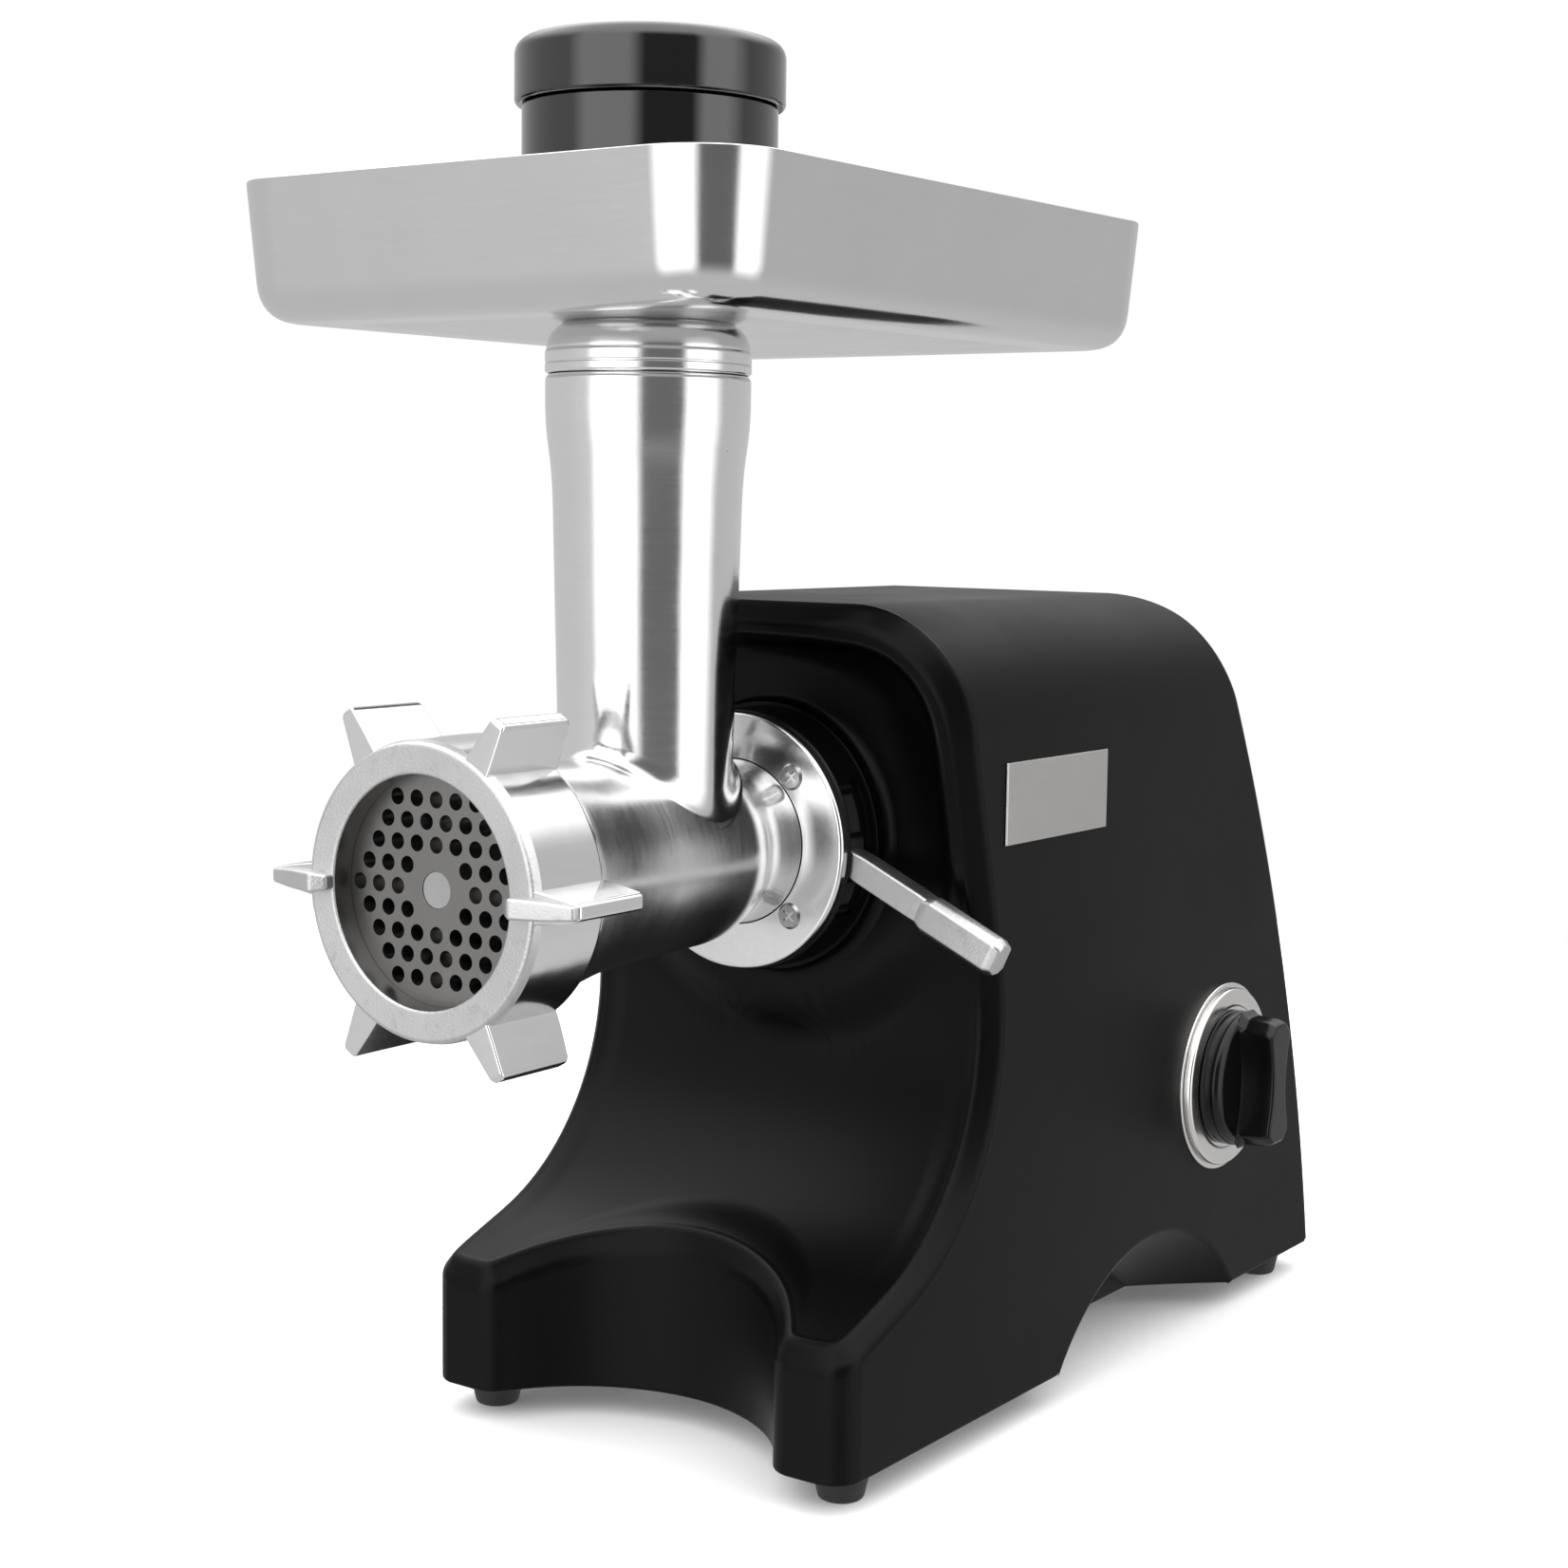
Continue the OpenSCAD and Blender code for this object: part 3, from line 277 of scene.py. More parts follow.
class Build:
    """Collects patches of points, in millimetres in the part's frame, into one mesh."""

    def __init__(self):
        self.points, self.normals, self.faces, self.kinds = [], [], [], []
        self.count = 0

    def patch(self, grid, out=None, centre=None, inside=False, wrap=False, kind=0, keep=None,
              exact=None):
        grid = np.asarray(grid, float)
        normal = normals_of(grid, wrap)
        if centre is not None:
            sign = np.sum(normal * (grid - np.asarray(centre, float)))
            sign = -sign if inside else sign
        else:
            sign = np.sum(normal * np.asarray(out, float))
        flip = sign < 0
        if flip:
            normal = -normal
        rows, cols = grid.shape[:2]
        for r in range(rows - 1):
            for c in range(cols if wrap else cols - 1):
                if keep is not None and not keep(r, c):
                    continue
                d = (c + 1) % cols
                face = [r * cols + c, (r + 1) * cols + c, (r + 1) * cols + d, r * cols + d]
                self.face([self.count + i for i in (face[::-1] if flip else face)], kind)
        if exact is not None:
            normal = np.asarray(exact, float)
        self.take(grid.reshape(-1, 3), normal.reshape(-1, 3))

    def flat(self, loop, out, kind=0):
        """One flat many-sided face."""
        loop = np.asarray(loop, float)
        ahead = np.roll(loop, -1, 0)
        area = np.cross(loop, ahead).sum(0)
        ids = list(range(self.count, self.count + len(loop)))
        self.face(ids if np.dot(area, out) > 0 else ids[::-1], kind)
        self.take(loop, np.tile(np.asarray(out, float), (len(loop), 1)))

    def face(self, ids, kind):
        self.faces.append(ids)
        self.kinds.append(kind)

    def take(self, points, normals):
        self.points.append(points)
        self.normals.append(normals)
        self.count += len(points)

    def make(self, name, body, materials, replaces=(), slot=None):
        points = (np.concatenate(self.points) + FROM_AXIS) * MM
        normals = np.concatenate(self.normals)
        data = bpy.data.meshes.new(name)
        data.from_pydata(points.tolist(), [], self.faces)
        for m in materials:
            data.materials.append(M[m])
        data.polygons.foreach_set("material_index", self.kinds)
        data.polygons.foreach_set("use_smooth", [True] * len(self.faces))
        data.normals_split_custom_set_from_vertices(normals.tolist())
        data.update()
        return place(bpy.data.objects.new(name, data), body, replaces, slot)


def place(piece, body, replaces=(), slot=None):
    bpy.context.scene.collection.objects.link(piece)
    if replaces:
        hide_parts(*replaces)
    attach(piece, body)
    return piece


def rounded(points, steps=6):
    """Polyline through (a, b, radius) corners, each rounded by that much along both sides."""
    out = []
    for i, p in enumerate(points):
        q = np.array(p[:2], float)
        r = p[2] if len(p) > 2 else 0
        if r == 0 or i in (0, len(points) - 1):
            out.append(q)
            continue
        a = np.array(points[i - 1][:2], float) - q
        b = np.array(points[i + 1][:2], float) - q
        a *= min(r, 0.5 * np.linalg.norm(a)) / np.linalg.norm(a)
        b *= min(r, 0.5 * np.linalg.norm(b)) / np.linalg.norm(b)
        for t in np.linspace(0, 1, steps + 1):
            out.append(q + a * (1 - t) ** 2 + b * t ** 2)
    return np.array(out)


def fine(line, sharp=20.0):
    """Splits a profile where it turns sharply, so that each part is shaded on its own."""
    parts, start = [], 0
    for i in range(1, len(line) - 1):
        a, b = line[i] - line[i - 1], line[i + 1] - line[i]
        turn = abs(math.degrees(math.atan2(a[0] * b[1] - a[1] * b[0], np.dot(a, b))))
        if turn > sharp:
            parts.append(line[start:i + 1])
            start = i
    parts.append(line[start:])
    return parts


def axes_of(axis):
    """Axial direction and the two directions across it."""
    return {"y": (np.array([0, 1, 0]), np.array([1, 0, 0]), UP),
            "z": (UP, np.array([1, 0, 0]), np.array([0, 1, 0])),
            "x": (np.array([1, 0, 0]), np.array([0, 1, 0]), UP)}[axis]


def lathe(build, profile, centre, axis="y", steps=144, kind=0, inside=False):
    """Turns a profile of (radius, place along the axis) about a centre line."""
    along, right, up = axes_of(axis)
    angles = np.linspace(0, 2 * math.pi, steps, endpoint=False)
    ring = np.cos(angles)[:, None] * right + np.sin(angles)[:, None] * up
    for part in fine(np.asarray(profile, float)):
        grid = np.array([centre + a * along + r * ring for r, a in part])
        flow = part[-1] - part[0]
        if abs(flow[1]) < 1e-6 or abs(flow[0]) > 4 * abs(flow[1]):  # nearly flat, faces along the axis
            side = -1.0 if (flow[0] > 0) != inside else 1.0
            build.patch(grid, out=along * side, wrap=True, kind=kind)
        else:
            build.patch(grid, centre=centre + along * part[:, 1].mean(), inside=inside ^ (flow[1] < 0),
                        wrap=True, kind=kind)


def solid(name, loops, body, material, bevel=0.6, segments=3, replaces=(), slot=None, turn=None):
    """Closed prism through loops of points (mm), with its edges rounded."""
    mesh = bmesh.new()
    rings = [[mesh.verts.new(Vector(p) * MM) for p in loop] for loop in loops]
    for a, b in zip(rings, rings[1:]):
        for i in range(len(a)):
            j = (i + 1) % len(a)
            mesh.faces.new((a[i], a[j], b[j], b[i]))
    mesh.faces.new(rings[0][::-1])
    mesh.faces.new(rings[-1])
    bmesh.ops.recalc_face_normals(mesh, faces=mesh.faces)
    if bevel:
        edges = [e for e in mesh.edges if len(e.link_faces) == 2 and e.calc_face_angle() > 0.3]
        bmesh.ops.bevel(mesh, geom=edges, offset=bevel * MM, segments=segments, profile=0.5,
                        affect="EDGES", clamp_overlap=True)
    if turn is not None:
        mesh.transform(turn)
    mesh.transform(Matrix.Translation(Vector(FROM_AXIS) * MM))
    data = bpy.data.meshes.new(name)
    mesh.to_mesh(data)
    mesh.free()
    data.polygons.foreach_set("use_smooth", [True] * len(data.polygons))
    data.set_sharp_from_angle(angle=math.radians(50))
    data.materials.append(M[material])
    piece = bpy.data.objects.new(name, data)
    weigh = piece.modifiers.new("weigh", "WEIGHTED_NORMAL")
    weigh.keep_sharp = True
    weigh.weight = 80
    return place(piece, body, replaces, slot)


# ---- the housing's shape ----------------------------------------------------

HALF_W, BODY_TOP, TOP_R, RIM = 75.5, 246.0, 36.0, 6.0
LEAN, LOW_RISE = math.radians(14), math.radians(20.2)
SWEEP = np.array([88.4, 123.8])
SWEEP_R = 71.15
BASE_Z, LEG_Y, LEG_R, BAY_R, BAY_Y = 9.0, 85.0, 9.0, 56.4, 61.6
BACK_R, BACK_Y, BACK_Z, SHOULDER_R = 625.0, 389 - 615.4, -99.6, 22.0
ARCH_Y, ARCH_Z, ARCH_R, ARCH_IN_R, ARCH_DEPTH = 264.0, -36.0, 75.0, 56.0, 27.0
AXIS_Z, PANEL_Y, TUBE_Y = 174.95, 155.6, 92.46
ARC_LEN = SWEEP_R * (math.pi / 2 - LOW_RISE + LEAN)


def profile_at(s, depth):
    """Front panel profile: s along it from the foot of the sweep, depth behind it, as (y, z)."""
    way = LOW_RISE - math.pi / 2 + min(max(s, 0), ARC_LEN) / SWEEP_R
    out = np.array([math.cos(way), math.sin(way)])
    place_ = SWEEP + SWEEP_R * out
    if s < 0:
        place_ = place_ + s * np.array([math.cos(LOW_RISE), math.sin(LOW_RISE)])
    elif s > ARC_LEN:
        place_ = place_ + (s - ARC_LEN) * np.array([-math.sin(LEAN), math.cos(LEAN)])
    return place_ + depth * out


def low_s(y):
    return (y - profile_at(0, RIM)[0]) / math.cos(LOW_RISE)


def top_z(x):
    over = max(0.0, abs(x) - HALF_W + TOP_R)
    return BODY_TOP - TOP_R + math.sqrt(max(0.0, TOP_R ** 2 - over ** 2))


def top_s(x):
    return ARC_LEN + (top_z(x) - profile_at(ARC_LEN, RIM)[1]) / math.cos(LEAN)


LEG_X = math.sqrt((BAY_R + LEG_R) ** 2 - (LEG_Y + LEG_R - BAY_Y) ** 2)
BAY_A = math.atan2(LEG_Y + LEG_R - BAY_Y, LEG_X)


def turn_about(x, y, r, a0, a1, n):
    return [(x + r * math.cos(a), y + r * math.sin(a)) for a in np.linspace(a0, a1, n)]


def panel_outline():
    """Right half of the front panel's outline from the bay to the top, as (x, s)."""
    plan = turn_about(0, BAY_Y, BAY_R, math.pi / 2, BAY_A, 24)
    plan += turn_about(LEG_X, LEG_Y + LEG_R, LEG_R, BAY_A + math.pi, math.pi * 1.5, 9)[1:]
    plan += turn_about(HALF_W - LEG_R, LEG_Y + LEG_R, LEG_R, -math.pi / 2, 0, 10)[1:]
    low = [(x, low_s(y)) for x, y in plan]
    s0, s1 = low[-1][1], top_s(HALF_W)
    side = [(HALF_W, s0 + (s1 - s0) * t) for t in np.linspace(0, 1, 61)[1:-1]]
    corner = [(HALF_W - TOP_R + TOP_R * math.cos(a)) for a in np.linspace(0, math.pi / 2, 17)]
    top = [(x, top_s(x)) for x in corner] + [(x, top_s(0)) for x in np.linspace(HALF_W - TOP_R, 0, 7)[1:]]
    return low + side + top, len(low), len(low) + len(side)


HALF, LOW_N, SIDE_N = panel_outline()
RIM_BACK = 1.6          # length of the rim behind its outer edge
RIM_IN = 1.2            # width of the rim's inner slope
RIM_SUNK = 0.25         # how far the panel lies behind the rim's ridge at its edge
LOOP = np.array(HALF + [(-x, s) for x, s in HALF[-2:0:-1]])


def way_back(x, s):
    """Direction (y, z) that leads from the rim's edge back along the housing's own surface."""
    if s >= top_s(HALF_W) - 1e-6:
        return np.array([1.0, 0.0])
    if abs(x) < HALF_W - 1e-6 or s <= HALF[LOW_N - 1][1] + 1e-6:
        return np.array([0.0, -1.0])
    return profile_at(s, 1) - profile_at(s, 0)


def rim_end(x, s):
    """Where the rim ends and the housing begins, as (y, z)."""
    return profile_at(s, RIM) + RIM_BACK * way_back(x, s)


def inset_loop(d):
    """The panel's outline pulled in by d, with its corners eased the more the further in it lies."""
    ahead, behind = np.roll(LOOP, -1, 0), np.roll(LOOP, 1, 0)
    along = (ahead - behind) / np.linalg.norm(ahead - behind, axis=1, keepdims=True)
    loop = LOOP + d * np.stack([-along[:, 1], along[:, 0]], 1)
    for _ in range(int(2.2 * d)):
        loop = 0.5 * loop + 0.25 * (np.roll(loop, -1, 0) + np.roll(loop, 1, 0))
    return loop


def star_loop(loop, heart):
    """Moves points sideways where the loop would turn back on itself, seen from the heart."""
    out = loop - heart
    size = np.linalg.norm(out, axis=1)
    turn = np.unwrap(np.arctan2(out[:, 1], out[:, 0]))
    half = len(loop) // 2
    sign = 1 if turn[half] > turn[0] else -1
    turn[:half + 1] = sign * np.maximum.accumulate(sign * turn[:half + 1] + 1e-5 * np.arange(half + 1))
    turn[half:] = sign * np.minimum.accumulate((sign * turn[half:])[::-1])[::-1]
    return heart + np.stack([np.cos(turn), np.sin(turn)], 1) * size[:, None]


def smooth(v):
    v = min(1.0, max(0.0, v))
    return v * v * (3 - 2 * v)


def dish(x, s):
    y, z = profile_at(s, 0)
    full = (156 - y) / math.cos(LEAN)
    fade = 1 if z < 212 else max(0.0, 1 - ((z - 212) / 27) ** 2)
    deep = 2.2 * smooth((s + 24) / 60) if s < ARC_LEN else max(2.2, full) * fade
    return deep * max(0.0, 1 - (abs(x) / (HALF_W - RIM)) ** 3)


def panel_point(x, s, depth, sunk=0.0):
    """A point of the front panel; sunk is how far it takes part in the dish, 0 to 1."""
    y, z = profile_at(s, depth + sunk * (0.4 + dish(x, s)))
    ring = math.hypot(x, z - AXIS_Z)
    near = smooth((68 - ring) / 20) * sunk
    return np.array([x, y + (PANEL_Y - y) * near - MID_Y, z])


def build_panel():
    b = Build()
    # bevelled rim: (inset, depth) from the housing's wall over the ridge to the panel
    rim = rounded([(0, RIM + RIM_BACK), (0, RIM - 0.6, 2.2), (RIM - 1.2, 0, 2.6),
                   (RIM + RIM_IN, RIM_SUNK)], 7)
    ways = [way_back(x, s) for x, s in LOOP]
    heart = np.array([0, ARC_LEN + 20])
    inner = star_loop(inset_loop(RIM + RIM_IN), heart)
    rows = []
    for inset, depth in rim:
        over = max(0.0, depth - RIM)
        loop = inner if inset == RIM + RIM_IN else inset_loop(inset)
        rows.append([panel_point(x, s, depth - over) + np.array([0, *(over * way)])
                     for (x, s), way in zip(loop, ways)])
    b.patch(rows, centre=(0, 60, 120), wrap=True)
    steps = np.roll(inner, -1, 0) - np.roll(inner, 1, 0)
    steps = 0.3 * steps / np.linalg.norm(steps, axis=1, keepdims=True)

    def dished(k, p, step=0.0):
        share = smooth((1 - k) / 0.12)
        return panel_point(*(heart + (p - heart) * k + step), RIM_SUNK * (1 - share), share)

    rows, normals = [], []
    for k in [1, 0.985, 0.965, 0.94, 0.91, 0.87, 0.83, 0.78, 0.73, 0.68, 0.63, 0.58, 0.53, 0.48, 0.43,
              0.38, 0.33, 0.28, 0.22, 0.15, 0.08]:
        rows.append([dished(k, p) for p in inner])
        line = np.array([np.cross(dished(k, p, t) - dished(k, p, -t),
                                  dished(k + 0.002, p) - dished(k - 0.002, p))
                         for p, t in zip(inner, steps)])
        normals.append(line / np.linalg.norm(line, axis=1, keepdims=True))
    normals = np.array(normals)
    normals *= np.where(normals[..., 1:2] > 0, -1, 1)
    b.patch(rows, out=(0, -1, 0.2), wrap=True, exact=normals)
    b.make("front_panel", "machine", ["panel"], ["front_cover"], "black_shell")
    # rounded foot of the collar on the panel
    foot = Build()
    line = rounded([(48, PANEL_Y + 0.25), (40.4, PANEL_Y - 0.15, 4.2), (40.4, PANEL_Y - 5.2, 0.5),
                    (39.0, PANEL_Y - 5.2)], 8)
    lathe(foot, line[::-1], np.array([0, -MID_Y, AXIS_Z]), "y", 160)
    foot.make("collar_foot", "machine", ["panel"], (), "black_shell")


SHOULDER_Z = BODY_TOP - SHOULDER_R
SHOULDER_Y = BACK_Y + math.sqrt((BACK_R - SHOULDER_R) ** 2 - (SHOULDER_Z - BACK_Z) ** 2)
SHOULDER_A = math.atan2(SHOULDER_Z - BACK_Z, SHOULDER_Y - BACK_Y)


def back_y(z):
    if z > SHOULDER_Z + SHOULDER_R * math.sin(SHOULDER_A):
        return SHOULDER_Y + math.sqrt(max(0.0, SHOULDER_R ** 2 - (z - SHOULDER_Z) ** 2))
    return BACK_Y + math.sqrt(BACK_R ** 2 - (z - BACK_Z) ** 2)


def front_y(z):
    """Where the housing's long top edge starts behind the rim."""
    lo, hi = low_s(LEG_Y + LEG_R), top_s(0)
    for _ in range(40):
        mid = (lo + hi) / 2
        if profile_at(mid, RIM)[1] < z:
            lo = mid
        else:
            hi = mid
    return profile_at((lo + hi) / 2, RIM)[0] + RIM_BACK


def bezier_strip(corner, t1, t2, size, steps=6):
    """Rounds a sharp edge: corner points, and directions into the two faces."""
    corner, t1, t2 = (np.asarray(v, float) for v in (corner, t1, t2))
    size = np.asarray(size, float).reshape(-1, 1)
    t1 = t1 / np.linalg.norm(t1, axis=1, keepdims=True) * size
    t2 = t2 / np.linalg.norm(t2, axis=1, keepdims=True) * size
    return [corner + t1 * (1 - t) ** 2 + t2 * t ** 2 for t in np.linspace(0, 1, steps + 1)]


def build_housing():
    b = Build()
    shift = np.array([0, -MID_Y, 0])
    edge, foot, lip = 4.0, 1.2, 5.0
    for m in (1, -1):
        flip = np.array([m, 1, 1])
        # upright wall of the bay and the leg
        plan = [(x, profile_at(s, RIM)[0]) for x, s in HALF[:LOW_N]]
        tops = [rim_end(x, s)[1] for x, s in HALF[:LOW_N]]
        rows = [[(x, y, z + (BASE_Z + foot - z) * t) for (x, y), z in zip(plan, tops)]
                for t in (0, 0.5, 1)]
        b.patch((np.array(rows) + shift) * flip, out=(0, -1, 0))
        ahead = np.gradient(np.array(plan), axis=0)
        inward = np.stack([-ahead[:, 1], ahead[:, 0], 0 * ahead[:, 0]], 1)
        corner = np.array([(x, y, BASE_Z) for x, y in plan])
        strip = bezier_strip(corner, np.tile(UP, (len(plan), 1)), inward, np.full(len(plan), foot))
        b.patch((np.array(strip) + shift) * flip, out=(0, -1, -0.5))
        inward = inward / np.linalg.norm(inward, axis=1, keepdims=True)
        b.patch((np.array([corner + inward * foot, corner + inward * lip]) + shift) * flip, out=-UP)
        # flat side with the arch of the hand hold
        reach = math.sqrt(ARCH_R ** 2 - (BASE_Z - ARCH_Z) ** 2)
        rim = 1.5
        low_a = math.asin((BASE_Z + foot - ARCH_Z) / (ARCH_R + rim))
        arch = turn_about(ARCH_Y, ARCH_Z, ARCH_R + rim, math.pi - low_a, low_a, 40)
        side = [(LEG_Y + LEG_R, BASE_Z + foot)] + arch
        side += [(back_y(z) - edge, z) for z in np.linspace(BASE_Z + foot, BODY_TOP - TOP_R, 40)]
        side += [tuple(rim_end(x, s)) for x, s in HALF[SIDE_N:LOW_N - 2:-1]]
        b.flat([(m * HALF_W, y - MID_Y, z) for y, z in side], (m, 0, 0))
        for y0, y1 in ((LEG_Y + LEG_R, ARCH_Y - reach - rim),
                       (ARCH_Y + reach + rim, back_y(BASE_Z) - edge)):
            line = np.array([(HALF_W, y0, BASE_Z), (HALF_W, y1, BASE_Z)])
            strip = bezier_strip(line, [UP, UP], [(-1, 0, 0)] * 2, [foot] * 2)
            b.patch((np.array(strip) + shift) * flip, out=(m, 0, -1))
            b.patch((np.array([line - [foot, 0, 0], line - [lip, 0, 0]]) + shift) * flip, out=-UP)
        # hand hold: rounded mouth, sloping wall and flat end
        a0 = math.asin((BASE_Z - ARCH_Z) / ARCH_R)
        sweep = np.linspace(math.pi - a0, a0, 48)
        ring = np.stack([0 * sweep, np.cos(sweep), np.sin(sweep)], 1)
        centre = np.array([HALF_W, ARCH_Y, ARCH_Z])
        slope = (ARCH_R - ARCH_IN_R) / ARCH_DEPTH
        mouth = bezier_strip(centre + ring * ARCH_R, ring, -ring * slope - [1, 0, 0],
                             np.full(len(sweep), rim))
        b.patch((np.array(mouth) + shift) * flip, out=(m, 0, -0.3))
        rows = []
        for d in np.linspace(1.2, ARCH_DEPTH, 9):
            r = ARCH_R - slope * d
            low_a = math.asin(min(1, (BASE_Z - ARCH_Z) / r))
            turn = np.linspace(math.pi - low_a, low_a, 48)
            rows.append([(HALF_W - d, ARCH_Y + r * math.cos(a), ARCH_Z + r * math.sin(a)) for a in turn])
        b.patch((np.array(rows) + shift) * flip, out=(m * 0.7, 0, -1))
        end = [(m * (HALF_W - ARCH_DEPTH), y - MID_Y, z) for _, y, z in rows[-1]]
        b.flat(end, (m, 0, 0))
        # rounded vertical edge at the back and the long rounded top edge
        levels = list(np.linspace(BASE_Z + foot, BODY_TOP - TOP_R, 30))
        crease = [(HALF_W, z, 1.0, 0.0) for z in levels]
        crease += [(HALF_W - TOP_R + TOP_R * math.cos(a), BODY_TOP - TOP_R + TOP_R * math.sin(a),
                    math.cos(a), math.sin(a)) for a in np.linspace(0, math.pi / 2, 25)[1:]]
        points, into, size = [], [], []
        for x, z, nx, nz in crease:
            slope_y = (back_y(z + 0.05) - back_y(z - 0.05)) / 0.1 if z < BODY_TOP - 0.1 else -40
            points.append((x, back_y(z), z))
            into.append((-nx, -slope_y * nz, -nz))
            size.append(edge * smooth((BODY_TOP - z) / 30))
        size[-1] = 0.0
        back = bezier_strip(points, [(0, -1, 0)] * len(points), into, np.maximum(size, 1e-6))
        b.patch((np.array(back) + shift) * flip, out=(m, 1, 0.3))
        arc = [i for i, c in enumerate(crease) if c[1] >= BODY_TOP - TOP_R]
        rows = []
        for i in arc:
            x, z = crease[i][:2]
            start, end_y = front_y(z), points[i][1] - size[i]
            rows.append([(x, start + (end_y - start) * t, z) for t in np.linspace(0, 1, 6)])
        b.patch((np.array(rows) + shift) * flip, out=(m, 0, 1))
        if m == 1:
            right = back[-1]
    # top
    rows = [[(x, y - MID_Y, BODY_TOP) for y in np.linspace(front_y(BODY_TOP - 1e-3), points[-1][1], 6)]
            for x in np.linspace(HALF_W - TOP_R, TOP_R - HALF_W, 5)]
    b.patch(rows, out=UP)
    # back with its cooling slots
    slots = [(100 + i * 9, 104 + i * 9) for i in range(7)]
    cuts = sorted({z for pair in slots for z in pair})
    cols = np.array([-1, -0.9, -0.75, -0.6, -0.53, 0, 0.53, 0.6, 0.75, 0.9, 1.0])
    rows = [(x, z) for x, _, z in right if not any(abs(z - c) < 2 for c in cuts)]
    rows += [(HALF_W - edge, z) for z in cuts]
    rows.sort(key=lambda r: r[1])
    grid, levels = [], []
    for x, z in rows:
        line = cols * x
        if z < 200:
            line[3:8] = np.clip(line[3:8], -40, 40)
            line[4:7] = -40, 0, 40
        grid.append([(v, back_y(min(z, BODY_TOP)) - MID_Y, z) for v in line])
        levels.append(z)

    def solid_there(r, c):
        low, high = levels[r], levels[r + 1]
        in_slot = any(low >= a - 0.01 and high <= z + 0.01 for a, z in slots)
        return not (in_slot and c in (4, 5))

    b.patch(grid, out=(0, 1, 0.2), keep=solid_there)
    for a, z in slots:
        mouth = np.array([(-40, back_y(a) - MID_Y, a), (40, back_y(a) - MID_Y, a),
                          (40, back_y(z) - MID_Y, z), (-40, back_y(z) - MID_Y, z)])
        for i in range(4):
            p, q = mouth[i], mouth[(i + 1) % 4]
            into = mouth.mean(0) - (p + q) / 2
            b.patch([[p, q], [p - [0, 3, 0], q - [0, 3, 0]]], out=into)
    # bottom edge of the back
    line = np.array([(-HALF_W + edge, back_y(BASE_Z), BASE_Z), (HALF_W - edge, back_y(BASE_Z), BASE_Z)])
    strip = bezier_strip(line, [(0, -0.174, 0.985)] * 2, [(0, -1, 0)] * 2, [foot] * 2)
    b.patch(np.array(strip) + shift, out=(0, 1, -1))
    b.patch(np.array([line - [0, foot, 0], line - [0, lip, 0]]) + shift, out=-UP)
    b.make("housing_shell", "machine", ["shell"], ["housing"], "black_shell")


build_panel()
build_housing()


# ---- grinding head ----------------------------------------------------------

AXIS = np.array([0, -MID_Y, AXIS_Z])          # on the auger's axis, at the ring nut's front
TUBE = np.array([0, TUBE_Y - MID_Y, 0.0])


def barrel_r(y):
    """Radius of the barrel at a distance behind the ring nut's front."""
    return np.interp(y, [31.6, 61.6, 115.6], [34, 28.8, 27.8])


FOOT_R = 24.45          # radius of the feed tube where it leaves the barrel
WIDEN_Z, WIDEN = 250, 1.2  # the height up to which it widens, and by how much


def build_casting():
    b = Build()
    line = rounded([(33.4, 26), (34, 28.4, 0.3), (34, 32.5, 3), (28.9, 61, 12), (27.8, 112, 6),
                    (23.2, 122, 8), (23.4, 130, 4), (24.35, 134.4)], 8)
    lathe(b, line, AXIS)
    # fillet and feed tube, with its bulged rim
    turns = np.linspace(0, 2 * math.pi, 144, endpoint=False)
    fillet = []
    for k in np.linspace(0, 1, 12):
        row = []
        for a in turns:
            c, s = math.cos(a), math.sin(a)
            size = 5.5

            def on_barrel(r):
                x, y = r * c, TUBE_Y + r * s
                return np.array([x, y - MID_Y, AXIS_Z + math.sqrt(max(1.0, barrel_r(y) ** 2 - x * x))])
            spread = size * (1 - 0.62 * abs(c))
            low, mid = on_barrel(FOOT_R + spread), on_barrel(FOOT_R)
            high = mid + [0, 0, size]
            row.append(low * (1 - k) ** 2 + mid * 2 * k * (1 - k) + high * k * k)
        fillet.append(row)
    top = [r[2] for r in fillet[-1]]
    b.patch(fillet, centre=TUBE + UP * AXIS_Z, wrap=True, kind=1)
    wall = [fillet[-1]]
    for t in np.linspace(0.15, 1, 8):
        r = FOOT_R + WIDEN * t
        wall.append([(TUBE[0] + r * math.cos(a), TUBE[1] + r * math.sin(a), z + (WIDEN_Z - z) * t)
                     for a, z in zip(turns, top)])
    b.patch(wall, centre=TUBE + UP * 220, wrap=True, kind=1)
    line = rounded([(25.65, WIDEN_Z), (26.4, 281, 9), (28.35, 294.6, 9), (28.4, 307.4, 0.6),
                    (27.6, 308.4)], 8)
    lathe(b, line, TUBE, "z", kind=1)
    b.make("head_shell", "head", ["cast", "tube"], ["head_casting"], "cast_aluminium")
    solid("tube_web", [[(x, TUBE_Y + 14 - MID_Y, AXIS_Z + 20), (x, TUBE_Y + 39 - MID_Y, AXIS_Z + 20),
                        (x, TUBE_Y + 36 - MID_Y, AXIS_Z + 31), (x, TUBE_Y + 27 - MID_Y, AXIS_Z + 43),
                        (x, TUBE_Y + 14 - MID_Y, AXIS_Z + 43)] for x in (-2.4, 2.4)],
          "head", "cast", 1.6, 4, (), "cast_aluminium")


